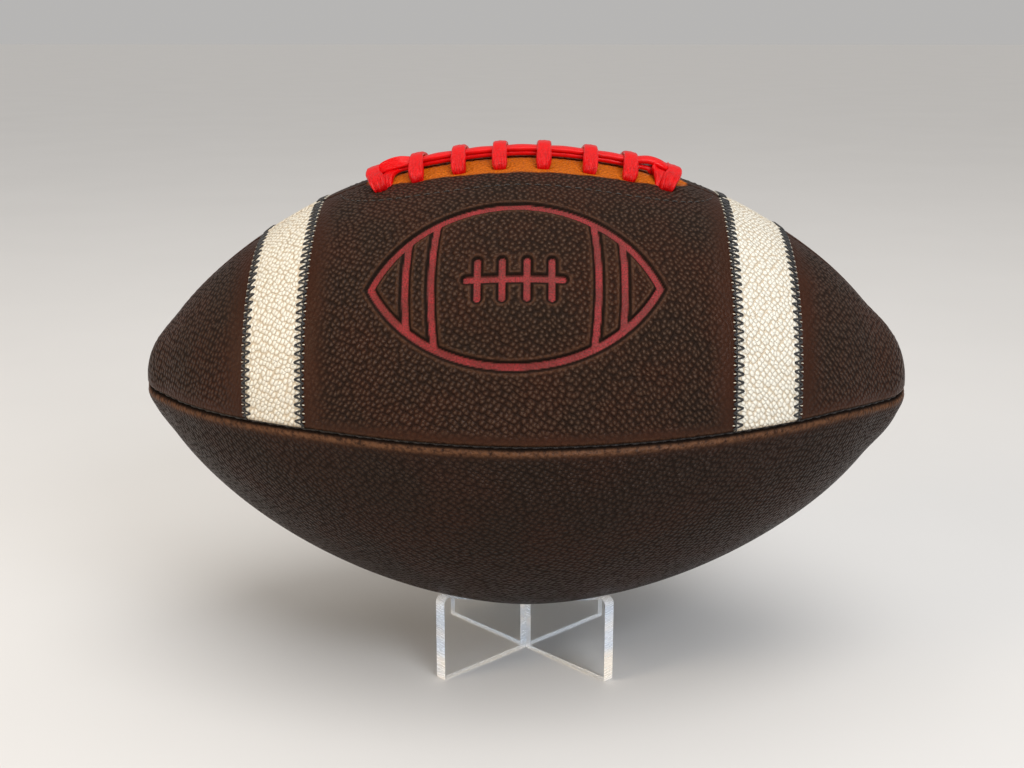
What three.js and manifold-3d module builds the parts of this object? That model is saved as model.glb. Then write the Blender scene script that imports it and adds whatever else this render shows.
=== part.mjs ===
// A regulation size American football resting on a stand of two crossed clear plates.
// Millimetres. X runs along the ball, Y to the back, Z up; the stand rests on Z = 0.

import * as THREE from 'three';
import { mergeVertices } from 'three/addons/utils/BufferGeometryUtils.js';
import Module from 'manifold-3d';

const wasm = await Module();
wasm.setup();

// ---------------------------------------------------------------- driving dimensions

const gap = 0.3; // left open between neighbouring pieces

const ball = {
  halfLength: 141,
  radius: 84.4,
  centreHeight: 108.5,
  bulge: 1.8, // exponents of the profile curve
  pointing: 0.68,
  tipOpening: 1.6, // radius left open where the panels meet at each tip
};

// Seam directions round the long axis: 0 faces the front, 90 straight up, 180 the back.
const seams = { front: -2, lacing: 84, back: 178, bottom: 267 };

const leather = 2.0;
const lining = 1.3;
const bladder = 1.0;
const tongue = 1.2;
const tongueReach = { halfLength: 66, halfAngle: 14 };
const bladderDent = { halfLength: 80, halfAngle: 15 }; // where the bladder sinks under the tongue

const stripe = { left: [-94.3, -73.2], right: [69.2, 91.7], thickness: 0.8, proud: 0.2 };
const zigzag = { pitch: 5.7, overStripe: 2.4, overLeather: 0.8 };
const threadRadius = 0.35;

const lacing = {
  flattening: 2.4, // how far the leather sinks under the lace
  flatHalfLength: 80,
  flatHalfAngle: 28,
  width: 5.2,
  thickness: 1.7,
  barCount: 8,
  barPitch: 14.6,
  barShift: -1, // the middle of the row of bars
  holeOffset: 14, // from the lacing seam to the row of holes
  slotAt: 57.5, // the end slot that both long runs pass through
  foldAt: -57,
};

const facing = { halfLength: 71, halfWidth: 32 };
const facingStitch = { halfLength: 66, halfWidth: 30 };

const valve = { angle: 128, stem: 2.6, flange: 6, flangeDepth: 8, flangeThickness: 2, needle: 0.6 };

const stand = { halfLength: 43.9, thickness: 4.7, slotFloor: 12, cornerRadius: 2.5 };

// Layer depths below the outside of the leather.
const liningTop = leather + gap;
const liningBottom = liningTop + lining;
const bladderTop = liningBottom + gap;
const innerLaceDepth = liningBottom + 2 * gap + lacing.thickness / 2;
const tongueTop = innerLaceDepth + lacing.thickness / 2 + gap;
const tongueBottom = tongueTop + tongue;
const bladderDip = tongueBottom + gap - bladderTop;

// ---------------------------------------------------------------- materials

const paint = (color, roughness, extra = {}) =>
  new THREE.MeshStandardMaterial({ color, roughness, metalness: 0, ...extra });

const looks = {
  darkLeather: () => paint(0x37231c, 0.55),
  whiteLeather: () => paint(0xe9e8e4, 0.5),
  blackThread: () => paint(0x1c1a1a, 0.7),
  tanThread: () => paint(0xb98a58, 0.8),
  canvas: () => paint(0xcfc6b2, 0.9),
  facingLeather: () => paint(0x8a5a30, 0.7),
  redLace: () => paint(0xd81e22, 0.4),
  rubber: () => paint(0x2b2b2d, 0.8),
  clearPlate: () => paint(0xdfe6ea, 0.08, { transparent: true, opacity: 0.35 }),
};

// ---------------------------------------------------------------- the shape of the ball

const radians = (degrees) => degrees * Math.PI / 180;
const clamp = (value, low, high) => Math.min(Math.max(value, low), high);

function profileRadius(x) {
  const along = Math.abs(x) / ball.halfLength;
  return ball.radius * (1 - along ** ball.bulge) ** ball.pointing;
}

// Unit normal of the profile, as its parts along X and away from the axis.
function profileNormal(x) {
  const along = Math.abs(x) / ball.halfLength;
  const fall = ball.radius * ball.pointing * ball.bulge / ball.halfLength
    * along ** (ball.bulge - 1) * (1 - along ** ball.bulge) ** (ball.pointing - 1);
  const length = Math.hypot(fall, 1);
  return { along: Math.sign(x) * fall / length, away: 1 / length };
}

// A smooth bump: 1 at the centre, 0 from the edge outwards.
const bump = (distance) => Math.max(0, 1 - distance ** 2) ** 2;

function flattening(x, angle) {
  const offSeam = (angle - seams.lacing) / lacing.flatHalfAngle;
  return lacing.flattening * bump(x / lacing.flatHalfLength) * bump(offSeam);
}

// A point on the ball at X, at an angle round the axis, and at a height over the leather.
function onBall(x, angle, height = 0) {
  const normal = profileNormal(x);
  const away = profileRadius(x) - flattening(x, angle) + normal.away * height;
  const turn = radians(angle);
  return new THREE.Vector3(
    x + normal.along * height,
    -away * Math.cos(turn),
    ball.centreHeight + away * Math.sin(turn),
  );
}

const degreesAcross = (x, distance) => distance / profileRadius(x) * 180 / Math.PI;

// The same, for a distance to the back of the lacing seam.
const onLacing = (x, across, height) =>
  onBall(x, seams.lacing + degreesAcross(x, across), height);

// The X where the profile has a given radius.
const stationOfRadius = (radius) =>
  ball.halfLength * (1 - (radius / ball.radius) ** (1 / ball.pointing)) ** (1 / ball.bulge);

// ---------------------------------------------------------------- building closed solids

function geometryFrom(points, triangles) {
  const geometry = new THREE.BufferGeometry();
  const positions = points.flatMap((point) => point.toArray());
  geometry.setAttribute('position', new THREE.Float32BufferAttribute(positions, 3));
  geometry.setIndex(triangles);
  return geometry;
}

// A slab: an outer and an inner surface sampled on one grid and joined round the rim.
function slab(rows, columns, outer, inner) {
  const points = [];
  for (const surface of [outer, inner]) {
    for (const row of rows) {
      for (const column of columns) {
        points.push(surface(row, column));
      }
    }
  }
  const layer = rows.length * columns.length;
  const index = (side, i, j) => side * layer + i * columns.length + j;
  const triangles = [];
  const quad = (a, b, c, d) => triangles.push(a, b, c, a, c, d);
  const lastRow = rows.length - 1;
  const lastColumn = columns.length - 1;
  for (let i = 0; i < lastRow; i += 1) {
    for (let j = 0; j < lastColumn; j += 1) {
      quad(index(0, i, j), index(0, i + 1, j), index(0, i + 1, j + 1), index(0, i, j + 1));
      quad(index(1, i, j), index(1, i, j + 1), index(1, i + 1, j + 1), index(1, i + 1, j));
    }
    quad(index(0, i, 0), index(1, i, 0), index(1, i + 1, 0), index(0, i + 1, 0));
    quad(index(0, i, lastColumn), index(0, i + 1, lastColumn),
      index(1, i + 1, lastColumn), index(1, i, lastColumn));
  }
  for (let j = 0; j < lastColumn; j += 1) {
    quad(index(0, 0, j), index(0, 0, j + 1), index(1, 0, j + 1), index(1, 0, j));
    quad(index(0, lastRow, j), index(1, lastRow, j),
      index(1, lastRow, j + 1), index(0, lastRow, j + 1));
  }
  return geometryFrom(points, triangles);
}

// A closed skin round the axis with a point at each end.
function closedSkin(rows, columns, surface, firstTip, lastTip) {
  const points = [firstTip, lastTip];
  for (const row of rows) {
    for (const column of columns) {
      points.push(surface(row, column));
    }
  }
  const index = (i, j) => 2 + i * columns.length + j % columns.length;
  const lastRow = rows.length - 1;
  const triangles = [];
  for (let j = 0; j < columns.length; j += 1) {
    for (let i = 0; i < lastRow; i += 1) {
      triangles.push(index(i, j), index(i + 1, j), index(i + 1, j + 1));
      triangles.push(index(i, j), index(i + 1, j + 1), index(i, j + 1));
    }
    triangles.push(0, index(0, j), index(0, j + 1));
    triangles.push(1, index(lastRow, j + 1), index(lastRow, j));
  }
  return geometryFrom(points, triangles);
}

// Joins a run of equal sections into one solid with flat ends.
function loft(sections) {
  const size = sections[0].length;
  const last = (sections.length - 1) * size;
  const triangles = [];
  for (let i = 0; i < sections.length - 1; i += 1) {
    for (let k = 0; k < size; k += 1) {
      const next = (k + 1) % size;
      const a = i * size + k;
      const b = i * size + next;
      triangles.push(a, b, b + size, a, b + size, a + size);
    }
  }
  for (let k = 1; k < size - 1; k += 1) {
    triangles.push(0, k + 1, k);
    triangles.push(last, last + k, last + k + 1);
  }
  return geometryFrom(sections.flat(), triangles);
}

function signedVolume(geometry) {
  const position = geometry.attributes.position;
  const corner = (i) => new THREE.Vector3().fromBufferAttribute(position, i);
  let volume = 0;
  for (let i = 0; i < geometry.index.count; i += 3) {
    const [a, b, c] = [0, 1, 2].map((k) => corner(geometry.index.getX(i + k)));
    volume += a.dot(b.cross(c)) / 6;
  }
  return volume;
}

// Turns the faces outwards where they were wound the other way.
function facingOut(geometry) {
  if (signedVolume(geometry) < 0) {
    const order = Array.from(geometry.index.array);
    for (let i = 0; i < order.length; i += 3) {
      [order[i + 1], order[i + 2]] = [order[i + 2], order[i + 1]];
    }
    geometry.setIndex(order);
  }
  return geometry;
}

function toSolid(geometry) {
  const bare = facingOut(geometry.clone());
  bare.deleteAttribute('normal');
  bare.deleteAttribute('uv');
  const merged = mergeVertices(bare, 1e-4);
  return new wasm.Manifold(new wasm.Mesh({
    numProp: 3,
    vertProperties: Float32Array.from(merged.attributes.position.array),
    triVerts: Uint32Array.from(merged.index.array),
  }));
}

function toGeometry(solid) {
  const mesh = solid.getMesh();
  const geometry = new THREE.BufferGeometry();
  geometry.setAttribute('position', new THREE.Float32BufferAttribute(mesh.vertProperties, 3));
  geometry.setIndex(Array.from(mesh.triVerts));
  return geometry;
}

function cut(geometry, cutters) {
  let solid = toSolid(geometry);
  for (const cutter of cutters) {
    solid = solid.subtract(toSolid(cutter));
  }
  return toGeometry(solid);
}

const keepInside = (geometry, limit) => toGeometry(toSolid(geometry).intersect(toSolid(limit)));

function piece(name, geometry, material) {
  const finished = facingOut(geometry.index ? geometry : mergeVertices(geometry));
  const shown = finished.toNonIndexed();
  shown.computeVertexNormals();
  const mesh = new THREE.Mesh(shown, material);
  mesh.name = name;
  return mesh;
}

// ---------------------------------------------------------------- shared grid lines

const tipStation = stationOfRadius(ball.tipOpening);
const bothEnds = (stations) => [...stations.map((x) => -x), ...[...stations].reverse()];

const stripeMiddles = [stripe.left, stripe.right].map(([from, to]) => (from + to) / 2);
const stripeEdges = [...stripe.left, ...stripe.right];
const ascending = (values) => [...values].sort((a, b) => a - b);

const coarseStations = ascending([...bothEnds([137, 118, 55, 28]), ...stripeEdges, 0]);
const fineStations = ascending([
  ...bothEnds([tipStation, 137, 128, 118, 106, 55, 42, 28, 14]), ...stripeEdges, ...stripeMiddles, 0,
]);

// Angles counted away from the lacing seam, close together where the lace lies.
const lacedBand = [0, 7, 14, 22];
const openSteps = 6;

function upperAngles(span, step = 1) {
  const angles = step === 1 ? [...lacedBand] : [0, 14, 22];
  const edge = lacedBand.at(-1);
  for (let k = step; k <= openSteps; k += step) {
    angles.push(edge + (span - edge) * k / openSteps);
  }
  return angles;
}

function lowerAngles(from, to, steps) {
  return Array.from({ length: steps + 1 }, (_, k) => from + (to - from) * k / steps);
}

const quarters = {
  front_upper: {
    from: seams.front,
    to: seams.lacing,
    angles: (step) => upperAngles(seams.lacing - seams.front, step)
      .map((a) => seams.lacing - a).reverse(),
  },
  back_upper: {
    from: seams.lacing,
    to: seams.back,
    angles: (step) => upperAngles(seams.back - seams.lacing, step).map((a) => seams.lacing + a),
  },
  back_lower: {
    from: seams.back,
    to: seams.bottom,
    angles: (step) => lowerAngles(seams.back, seams.bottom, 8 / step),
  },
  front_lower: {
    from: seams.bottom - 360,
    to: seams.front,
    angles: (step) => lowerAngles(seams.bottom - 360, seams.front, 8 / step),
  },
};

// A shell over one quarter of the ball, held off both seams by half a gap.
function quarterShell(quarter, stations, step, seamGap, outerDepth, innerDepth) {
  const surface = (depthAt) => (x, angle) => {
    const margin = degreesAcross(x, seamGap / 2);
    const held = clamp(angle, quarter.from + margin, quarter.to - margin);
    return onBall(x, held, -depthAt(x));
  };
  return slab(stations, quarter.angles(step), surface(outerDepth), surface(innerDepth));
}

// ---------------------------------------------------------------- cutters over the lacing

// A block standing through the leather, given in lacing coordinates.
function lacingBlock(x, halfX, across, halfAcross) {
  const top = 3;
  const bottom = -12;
  const corner = (height) => (i, j) => onLacing(x + i * halfX, across + j * halfAcross, height);
  return slab([-1, 1], [-1, 1], corner(top), corner(bottom));
}

const ovalExponent = 3.2;
const ovalHalfWidth = (x, oval) =>
  oval.halfWidth * Math.sqrt(Math.max(0, 1 - Math.abs(x / oval.halfLength) ** ovalExponent));

function ovalBlock(oval) {
  const steps = 16;
  const end = 0.998 * oval.halfLength; // just short of the tips, where the width is nothing
  const stations = Array.from({ length: steps + 1 }, (_, k) =>
    end * Math.sin((k / steps - 0.5) * Math.PI));
  const at = (height) => (x, side) => onLacing(x, side * ovalHalfWidth(x, oval), height);
  return slab(stations, [-1, -0.5, 0, 0.5, 1], at(3), at(-12));
}

const barStations = Array.from({ length: lacing.barCount }, (_, k) =>
  lacing.barShift + ((lacing.barCount - 1) / 2 - k) * lacing.barPitch);

const holeHalf = { x: lacing.width / 2 + gap, across: lacing.thickness / 2 + gap };
const slotHalf = { x: lacing.thickness + 1.5 * gap, across: lacing.width / 2 + gap };

function lacingCutters(side) {
  const holes = barStations.map((x) =>
    lacingBlock(x, holeHalf.x, side * lacing.holeOffset, holeHalf.across));
  return [...holes, lacingBlock(lacing.slotAt, slotHalf.x, 0, slotHalf.across)];
}

// ---------------------------------------------------------------- leather panels and stripes

function panelStations(carriesStripes) {
  if (!carriesStripes) {
    return fineStations;
  }
  const others = fineStations.filter((x) => !stripeEdges.includes(x));
  const steps = [stripe.left, stripe.right].flatMap(([from, to]) =>
    [from - 2 * gap, from - gap, to + gap, to + 2 * gap]);
  return ascending([...others, ...steps]);
}

// The bed that a stripe lies in.
function bedDepth(x) {
  const inBed = [stripe.left, stripe.right].some(([from, to]) =>
    x > from - 1.5 * gap && x < to + 1.5 * gap);
  return inBed ? stripe.thickness - stripe.proud + gap : 0;
}

function panel(quarter, carriesStripes) {
  const outerDepth = carriesStripes ? bedDepth : () => 0;
  return quarterShell(quarter, panelStations(carriesStripes), 1, gap, outerDepth, () => leather);
}

function stripeBand(quarter, [from, to]) {
  const stations = [from, (from + to) / 2, to];
  const under = stripe.thickness - stripe.proud;
  return quarterShell(quarter, stations, 1, gap, () => -stripe.proud, () => under);
}

// ---------------------------------------------------------------- threads

// A thread of three-sided section laid through points given with the way out of the leather.
function thread(points, radius) {
  const sections = points.map((point, i) => {
    const before = points[Math.max(i - 1, 0)];
    const after = points[Math.min(i + 1, points.length - 1)];
    const heading = after.at.clone().sub(before.at).normalize();
    const side = heading.clone().cross(point.out).normalize();
    const low = point.at.clone().addScaledVector(point.out, -radius / 2);
    const reach = radius * Math.sqrt(3) / 2;
    return [
      point.at.clone().addScaledVector(point.out, radius),
      low.clone().addScaledVector(side, reach),
      low.clone().addScaledVector(side, -reach),
    ];
  });
  return loft(sections);
}

function threadPoint(x, angle, height) {
  const at = onBall(x, angle, height);
  const out = onBall(x, angle, height + 1).sub(at).normalize();
  return { at, out };
}

// Runs along one edge of a stripe; inward is the way from that edge to the stripe's middle.
function zigzagThread(quarter, edge, inward) {
  const height = stripe.proud + gap + threadRadius / 2;
  const margin = degreesAcross(edge, zigzag.pitch / 2);
  const length = (quarter.to - quarter.from - 2 * margin) / degreesAcross(edge, 1);
  const turns = 2 * Math.round(length / zigzag.pitch);
  const points = Array.from({ length: turns + 1 }, (_, k) => {
    const reach = k % 2 ? zigzag.overStripe : -zigzag.overLeather;
    const angle = quarter.from + margin + (quarter.to - quarter.from - 2 * margin) * k / turns;
    return threadPoint(edge + inward * reach, angle, height);
  });
  return thread(points, threadRadius);
}

// Lies in the channel between two linings, under a seam.
function seamThread(angle, from, to) {
  const stations = fineStations.filter((x) => x >= from && x <= to);
  const depth = liningTop + 0.6;
  return thread(stations.map((x) => threadPoint(x, angle, -depth)), 0.45);
}

function facingThread(side) {
  const steps = 28;
  const points = Array.from({ length: steps + 1 }, (_, k) => {
    const x = facingStitch.halfLength * 0.995 * Math.sin((k / steps - 0.5) * Math.PI);
    const across = side * Math.max(ovalHalfWidth(x, facingStitch), 1.2);
    return threadPoint(x, seams.lacing + degreesAcross(x, across), gap + threadRadius / 2);
  });
  return thread(points, threadRadius);
}

// ---------------------------------------------------------------- inside the ball

const facingClearance = 0.6;
const liningSeamGap = 2;

function liningShell(quarter) {
  return quarterShell(quarter, coarseStations, 2, liningSeamGap,
    () => liningTop, () => liningBottom);
}

function upperLining(quarter) {
  const oval = {
    halfLength: facing.halfLength + facingClearance,
    halfWidth: facing.halfWidth + facingClearance,
  };
  return cut(liningShell(quarter), [ovalBlock(oval)]);
}

function laceFacing(quarter, side) {
  const stations = fineStations.filter((x) => Math.abs(x) < 80);
  const whole = quarterShell(quarter, stations, 1, gap, () => liningTop, () => liningBottom);
  return cut(keepInside(whole, ovalBlock(facing)), lacingCutters(side));
}

function laceTongue() {
  const end = tongueReach.halfLength;
  const angles = [-1, -0.5, 0, 0.5, 1].map((share) => seams.lacing + share * tongueReach.halfAngle);
  const stations = [-end, ...fineStations.filter((x) => Math.abs(x) < end - 6), end];
  return slab(stations, angles,
    (x, angle) => onBall(x, angle, -tongueTop),
    (x, angle) => onBall(x, angle, -tongueBottom));
}

function bladderDepth(x, angle) {
  const offSeam = Math.abs(((angle - seams.lacing + 540) % 360) - 180);
  const underTongue = Math.abs(x) < bladderDent.halfLength && offSeam < bladderDent.halfAngle;
  return bladderTop + (underTongue ? bladderDip : 0);
}

function valveBody() {
  const top = -0.4;
  const flangeTop = -valve.flangeDepth;
  const flangeFoot = flangeTop - valve.flangeThickness;
  const needleFoot = flangeTop + 1;
  const outline = [
    [0, flangeFoot], [valve.flange, flangeFoot], [valve.flange, flangeTop],
    [valve.stem, flangeTop], [valve.stem, top], [valve.needle, top],
    [valve.needle, needleFoot], [0, needleFoot],
  ].map(([radius, height]) => new THREE.Vector2(radius, height));
  return placeAtValve(new THREE.LatheGeometry(outline, 16));
}

function placeAtValve(geometry) {
  const turn = radians(valve.angle);
  const out = new THREE.Vector3(0, -Math.cos(turn), Math.sin(turn));
  const upright = new THREE.Quaternion().setFromUnitVectors(new THREE.Vector3(0, 1, 0), out);
  const at = onBall(0, valve.angle);
  return geometry.applyQuaternion(upright).translate(at.x, at.y, at.z);
}

const valveBore = () => {
  const radius = valve.stem + 2 * gap;
  const length = 24; // through every layer
  return placeAtValve(new THREE.CylinderGeometry(radius, radius, length, 16));
};

function bladderShell() {
  const stations = coarseStations;
  const angles = [
    ...quarters.front_upper.angles(2), ...quarters.back_upper.angles(2).slice(1),
    ...quarters.back_lower.angles(2).slice(1), ...quarters.front_lower.angles(2).slice(1, -1)
      .map((a) => a + 360),
  ];
  const skin = (extra) => {
    const tip = ball.halfLength - bladderTop - extra;
    const end = (x) => new THREE.Vector3(x, 0, ball.centreHeight);
    const surface = (x, angle) => onBall(x, angle, -(bladderDepth(x, angle) + extra));
    return closedSkin(stations, angles, surface, end(-tip), end(tip));
  };
  return cut(skin(0), [skin(bladder), valveBore()]);
}

// ---------------------------------------------------------------- the lace

// The lace is one strap. Its route is a list of points in lacing coordinates
// (along X, across the seam, height), each with the direction its width lies in.
function laceRoute() {
  const route = [];
  const lower = gap + lacing.thickness / 2;
  const upper = lower + lacing.thickness + gap;
  const over = upper + lacing.thickness + gap;
  const inside = -innerLaceDepth;
  const acrossSeam = [0, 1];
  const alongSeam = [-1, 0];
  const add = (x, across, height, wide) => route.push({ x, across, height, wide });

  // Both long runs bend through the end slot round the same edge.
  const strapHalf = lacing.thickness / 2 + gap / 2;
  const lowerBend = lacing.slotAt - strapHalf;
  const upperBend = lacing.slotAt + strapHalf;
  const quarterTurn = [0, 0.25, 0.5, 0.75, 1].map((k) => k * Math.PI / 2);

  add(lowerBend, 0, -leather, acrossSeam);
  for (const turn of quarterTurn) {
    add(lowerBend - lower * (1 - Math.cos(turn)), 0, lower * Math.sin(turn), acrossSeam);
  }
  const runStep = 14;
  const runEnd = 3 * runStep;
  for (let x = runEnd; x >= -runEnd; x -= runStep) {
    add(x, 0, lower, acrossSeam);
  }

  // Folds back over itself at the other end.
  const foldRadius = (upper - lower) / 2;
  for (let k = 0; k <= 6; k += 1) {
    const turn = k / 6 * Math.PI;
    add(lacing.foldAt - foldRadius * Math.sin(turn), 0,
      lower + foldRadius * (1 - Math.cos(turn)), acrossSeam);
  }
  for (let x = -runEnd; x <= runEnd; x += runStep) {
    add(x, 0, upper, acrossSeam);
  }
  for (const turn of [...quarterTurn].reverse()) {
    add(upperBend - upper * (1 - Math.cos(turn)), 0, upper * Math.sin(turn), acrossSeam);
  }

  // Under the leather it heads for the first hole, turning its width as it goes.
  const first = barStations[0];
  const hole = lacing.holeOffset;
  add(upperBend, 0, inside + 1, acrossSeam);
  add(upperBend - 1.2, -1.4, inside, [-0.45, 0.9]);
  add((upperBend + first) / 2, -hole * 0.5, inside, [-0.8, 0.6]);
  add(first + 1, -hole * 0.88, inside, [-0.97, 0.2]);

  // Each bar climbs out of a front hole, crosses both runs and drops into a back hole.
  const bend = 1.1;
  barStations.forEach((x, k) => {
    const half = [
      [hole, inside + bend], [hole, -0.6], [hole - 0.35, 0.55], [hole - bend, lower + 0.1],
      [lacing.width / 2 + 1.4, over - 0.25], [lacing.width / 2 - 0.4, over],
    ];
    half.forEach(([across, height]) => add(x, -across, height, alongSeam));
    [...half].reverse().forEach(([across, height]) => add(x, across, height, alongSeam));
    const next = barStations[k + 1];
    if (next !== undefined) {
      add(x - 0.3, hole - bend, inside, alongSeam);
      add((x + next) / 2, 0, inside, alongSeam);
      add(next + 0.3, -hole + bend, inside, alongSeam);
    } else {
      add(x, hole - bend, inside, alongSeam);
      add(x, hole - 5, inside, alongSeam);
    }
  });
  return route;
}

function laceStrap() {
  const route = laceRoute();
  const sections = route.map((point, i) => {
    const before = route[Math.max(i - 1, 0)];
    const after = route[Math.min(i + 1, route.length - 1)];
    const heading = new THREE.Vector3(
      after.x - before.x, after.across - before.across, after.height - before.height,
    ).normalize();
    const wide = new THREE.Vector3(point.wide[0], point.wide[1], 0).normalize();
    const thick = heading.clone().cross(wide).normalize();
    const corner = (w, t) => {
      const offset = wide.clone().multiplyScalar(w * lacing.width / 2)
        .addScaledVector(thick, t * lacing.thickness / 2);
      return onLacing(point.x + offset.x, point.across + offset.y, point.height + offset.z);
    };
    return [corner(1, 1), corner(-1, 1), corner(-1, -1), corner(1, -1)];
  });
  return loft(sections);
}

// ---------------------------------------------------------------- the stand

// The highest a plate may reach under the ball, at a distance along the plate.
function cradleHeight(along) {
  const heights = [-1, 0, 1].map((side) => {
    const off = side * stand.thickness / 2;
    const x = (along - off) * Math.SQRT1_2;
    const y = (along + off) * Math.SQRT1_2;
    return ball.centreHeight - Math.sqrt(profileRadius(x) ** 2 - y ** 2);
  });
  const slope = 1.12; // the gap is measured square to the leather
  return Math.min(...heights) - gap * slope;
}

function plateOutline(slotOpensUp) {
  const end = stand.halfLength;
  const corner = stand.cornerRadius;
  const slotHalf = stand.thickness / 2 + gap;
  const outline = new THREE.Shape();
  const shoulder = cradleHeight(end - corner);
  const arcSteps = 4;
  const rightCorner = Array.from({ length: arcSteps + 1 }, (_, k) => {
    const turn = k / arcSteps * Math.PI / 2;
    return [end - corner + corner * Math.cos(turn), shoulder - corner + corner * Math.sin(turn)];
  });
  const cradle = [];
  const cradleSteps = 7;
  for (let k = 1; k <= cradleSteps; k += 1) {
    const along = end - corner - (end - corner - slotHalf) * k / cradleSteps;
    cradle.push([along, cradleHeight(along)]);
  }
  const right = [[end, 0], ...rightCorner, ...cradle];
  const left = right.map(([along, height]) => [-along, height]).reverse();
  const slotFloor = stand.slotFloor + (slotOpensUp ? -gap / 2 : gap / 2);
  const topMiddle = slotOpensUp
    ? [[slotHalf, slotFloor], [-slotHalf, slotFloor]]
    : [[0, cradleHeight(0)]];
  const bottomMiddle = slotOpensUp
    ? []
    : [[-slotHalf, 0], [-slotHalf, slotFloor], [slotHalf, slotFloor], [slotHalf, 0]];
  for (const [i, [along, height]] of [...right, ...topMiddle, ...left, ...bottomMiddle].entries()) {
    if (i === 0) {
      outline.moveTo(along, height);
    } else {
      outline.lineTo(along, height);
    }
  }
  outline.closePath();
  return outline;
}

function standPlate(slotOpensUp, turn) {
  const geometry = new THREE.ExtrudeGeometry(plateOutline(slotOpensUp), {
    depth: stand.thickness,
    bevelEnabled: false,
  });
  geometry.translate(0, 0, -stand.thickness / 2);
  geometry.rotateX(Math.PI / 2);
  geometry.rotateZ(radians(turn));
  geometry.deleteAttribute('normal');
  geometry.deleteAttribute('uv');
  return mergeVertices(geometry, 1e-4);
}

// ---------------------------------------------------------------- the assembly

const standGroup = new THREE.Group();
standGroup.name = 'stand';
standGroup.add(piece('stand_plate_lower', standPlate(true, 45), looks.clearPlate()));
standGroup.add(piece('stand_plate_upper', standPlate(false, -45), looks.clearPlate()));

const ballGroup = new THREE.Group();
ballGroup.name = 'ball';

const sides = { front_upper: -1, back_upper: 1 };
for (const [name, quarter] of Object.entries(quarters)) {
  const isUpper = name in sides;
  let leatherPanel = panel(quarter, isUpper);
  if (isUpper) {
    leatherPanel = cut(leatherPanel, lacingCutters(sides[name]));
  }
  if (name === 'back_upper') {
    leatherPanel = cut(leatherPanel, [valveBore()]);
  }
  let liningPiece = isUpper ? upperLining(quarter) : liningShell(quarter);
  if (name === 'back_upper') {
    liningPiece = cut(liningPiece, [valveBore()]);
  }
  ballGroup.add(piece(`panel_${name}`, leatherPanel, looks.darkLeather()));
  ballGroup.add(piece(`lining_${name}`, liningPiece, looks.canvas()));
}

for (const [side, quarterName] of [['front', 'front_upper'], ['back', 'back_upper']]) {
  const quarter = quarters[quarterName];
  const sign = sides[quarterName];
  for (const end of ['left', 'right']) {
    const [from, to] = stripe[end];
    const name = `${side}_${end}`;
    ballGroup.add(piece(`stripe_${name}`, stripeBand(quarter, stripe[end]), looks.whiteLeather()));
    ballGroup.add(piece(`zigzag_${name}_a`, zigzagThread(quarter, from, 1), looks.blackThread()));
    ballGroup.add(piece(`zigzag_${name}_b`, zigzagThread(quarter, to, -1), looks.blackThread()));
  }
  ballGroup.add(piece(`lace_facing_${side}`, laceFacing(quarter, sign), looks.facingLeather()));
  ballGroup.add(piece(`facing_thread_${side}`, facingThread(sign), looks.tanThread()));
}

for (const name of ['front', 'back', 'bottom']) {
  ballGroup.add(piece(`seam_thread_${name}`, seamThread(seams[name], -137, 137), looks.tanThread()));
}
const beyondFacing = facing.halfLength + 1;
ballGroup.add(piece('seam_thread_top_left',
  seamThread(seams.lacing, -137, -beyondFacing), looks.tanThread()));
ballGroup.add(piece('seam_thread_top_right',
  seamThread(seams.lacing, beyondFacing, 137), looks.tanThread()));

ballGroup.add(piece('lace_tongue', laceTongue(), looks.canvas()));
ballGroup.add(piece('lace', laceStrap(), looks.redLace()));
ballGroup.add(piece('bladder', bladderShell(), looks.rubber()));
ballGroup.add(piece('valve', valveBody(), looks.rubber()));

const group = new THREE.Group();
group.name = 'football_on_stand';
group.add(standGroup, ballGroup);

export default group;
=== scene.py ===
import math

import bpy
import numpy as np
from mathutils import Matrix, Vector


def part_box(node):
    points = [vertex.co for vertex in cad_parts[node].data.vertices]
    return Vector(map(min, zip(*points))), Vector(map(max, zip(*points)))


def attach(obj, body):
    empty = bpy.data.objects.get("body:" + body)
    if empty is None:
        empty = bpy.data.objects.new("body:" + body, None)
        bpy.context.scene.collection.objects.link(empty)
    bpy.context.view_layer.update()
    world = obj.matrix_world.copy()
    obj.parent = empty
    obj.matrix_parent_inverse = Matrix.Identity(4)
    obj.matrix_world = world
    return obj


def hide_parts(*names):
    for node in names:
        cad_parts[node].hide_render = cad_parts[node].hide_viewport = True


mm = 0.001  # everything below is worked out in millimetres and laid down in metres

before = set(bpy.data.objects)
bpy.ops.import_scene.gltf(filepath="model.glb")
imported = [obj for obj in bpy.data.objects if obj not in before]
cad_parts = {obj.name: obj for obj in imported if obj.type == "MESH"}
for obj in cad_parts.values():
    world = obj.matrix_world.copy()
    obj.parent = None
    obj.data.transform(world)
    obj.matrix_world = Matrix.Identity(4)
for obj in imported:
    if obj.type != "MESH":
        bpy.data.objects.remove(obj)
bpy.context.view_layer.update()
print("frame loaded")


# the form of the ball, with the same driving sizes as the CAD part

ballForm = {
    "halfLength": 141,
    "radius": 84.4,
    "centreHeight": 108.5,
    "bulge": 1.8,
    "pointing": 0.68,
}
seamAngle = {"front": -2, "lacing": 84, "back": 178, "bottom": 267}
laceBed = {"flattening": 2.4, "halfLength": 80, "halfAngle": 28}
ballEnds = {
    # side: how much fuller the end is, how far that reaches, how much shorter it is,
    # where the side seams start to run low, and by how much they do
    -1: {"fuller": 2.4, "reach": 13, "shorter": 0.0, "lowFrom": 60, "low": 2.6},
    1: {"fuller": 3.8, "reach": 18, "shorter": 1.5, "lowFrom": 104, "low": 2.6},
}
endShape = {"fullnessScale": 3.5, "shortenFrom": 105, "lowestAt": 136}  # along the long axis


def smoothStep(low, high, value):
    t = np.clip((value - low) / (high - low), 0, 1)
    return t * t * (3 - 2 * t)


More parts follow.
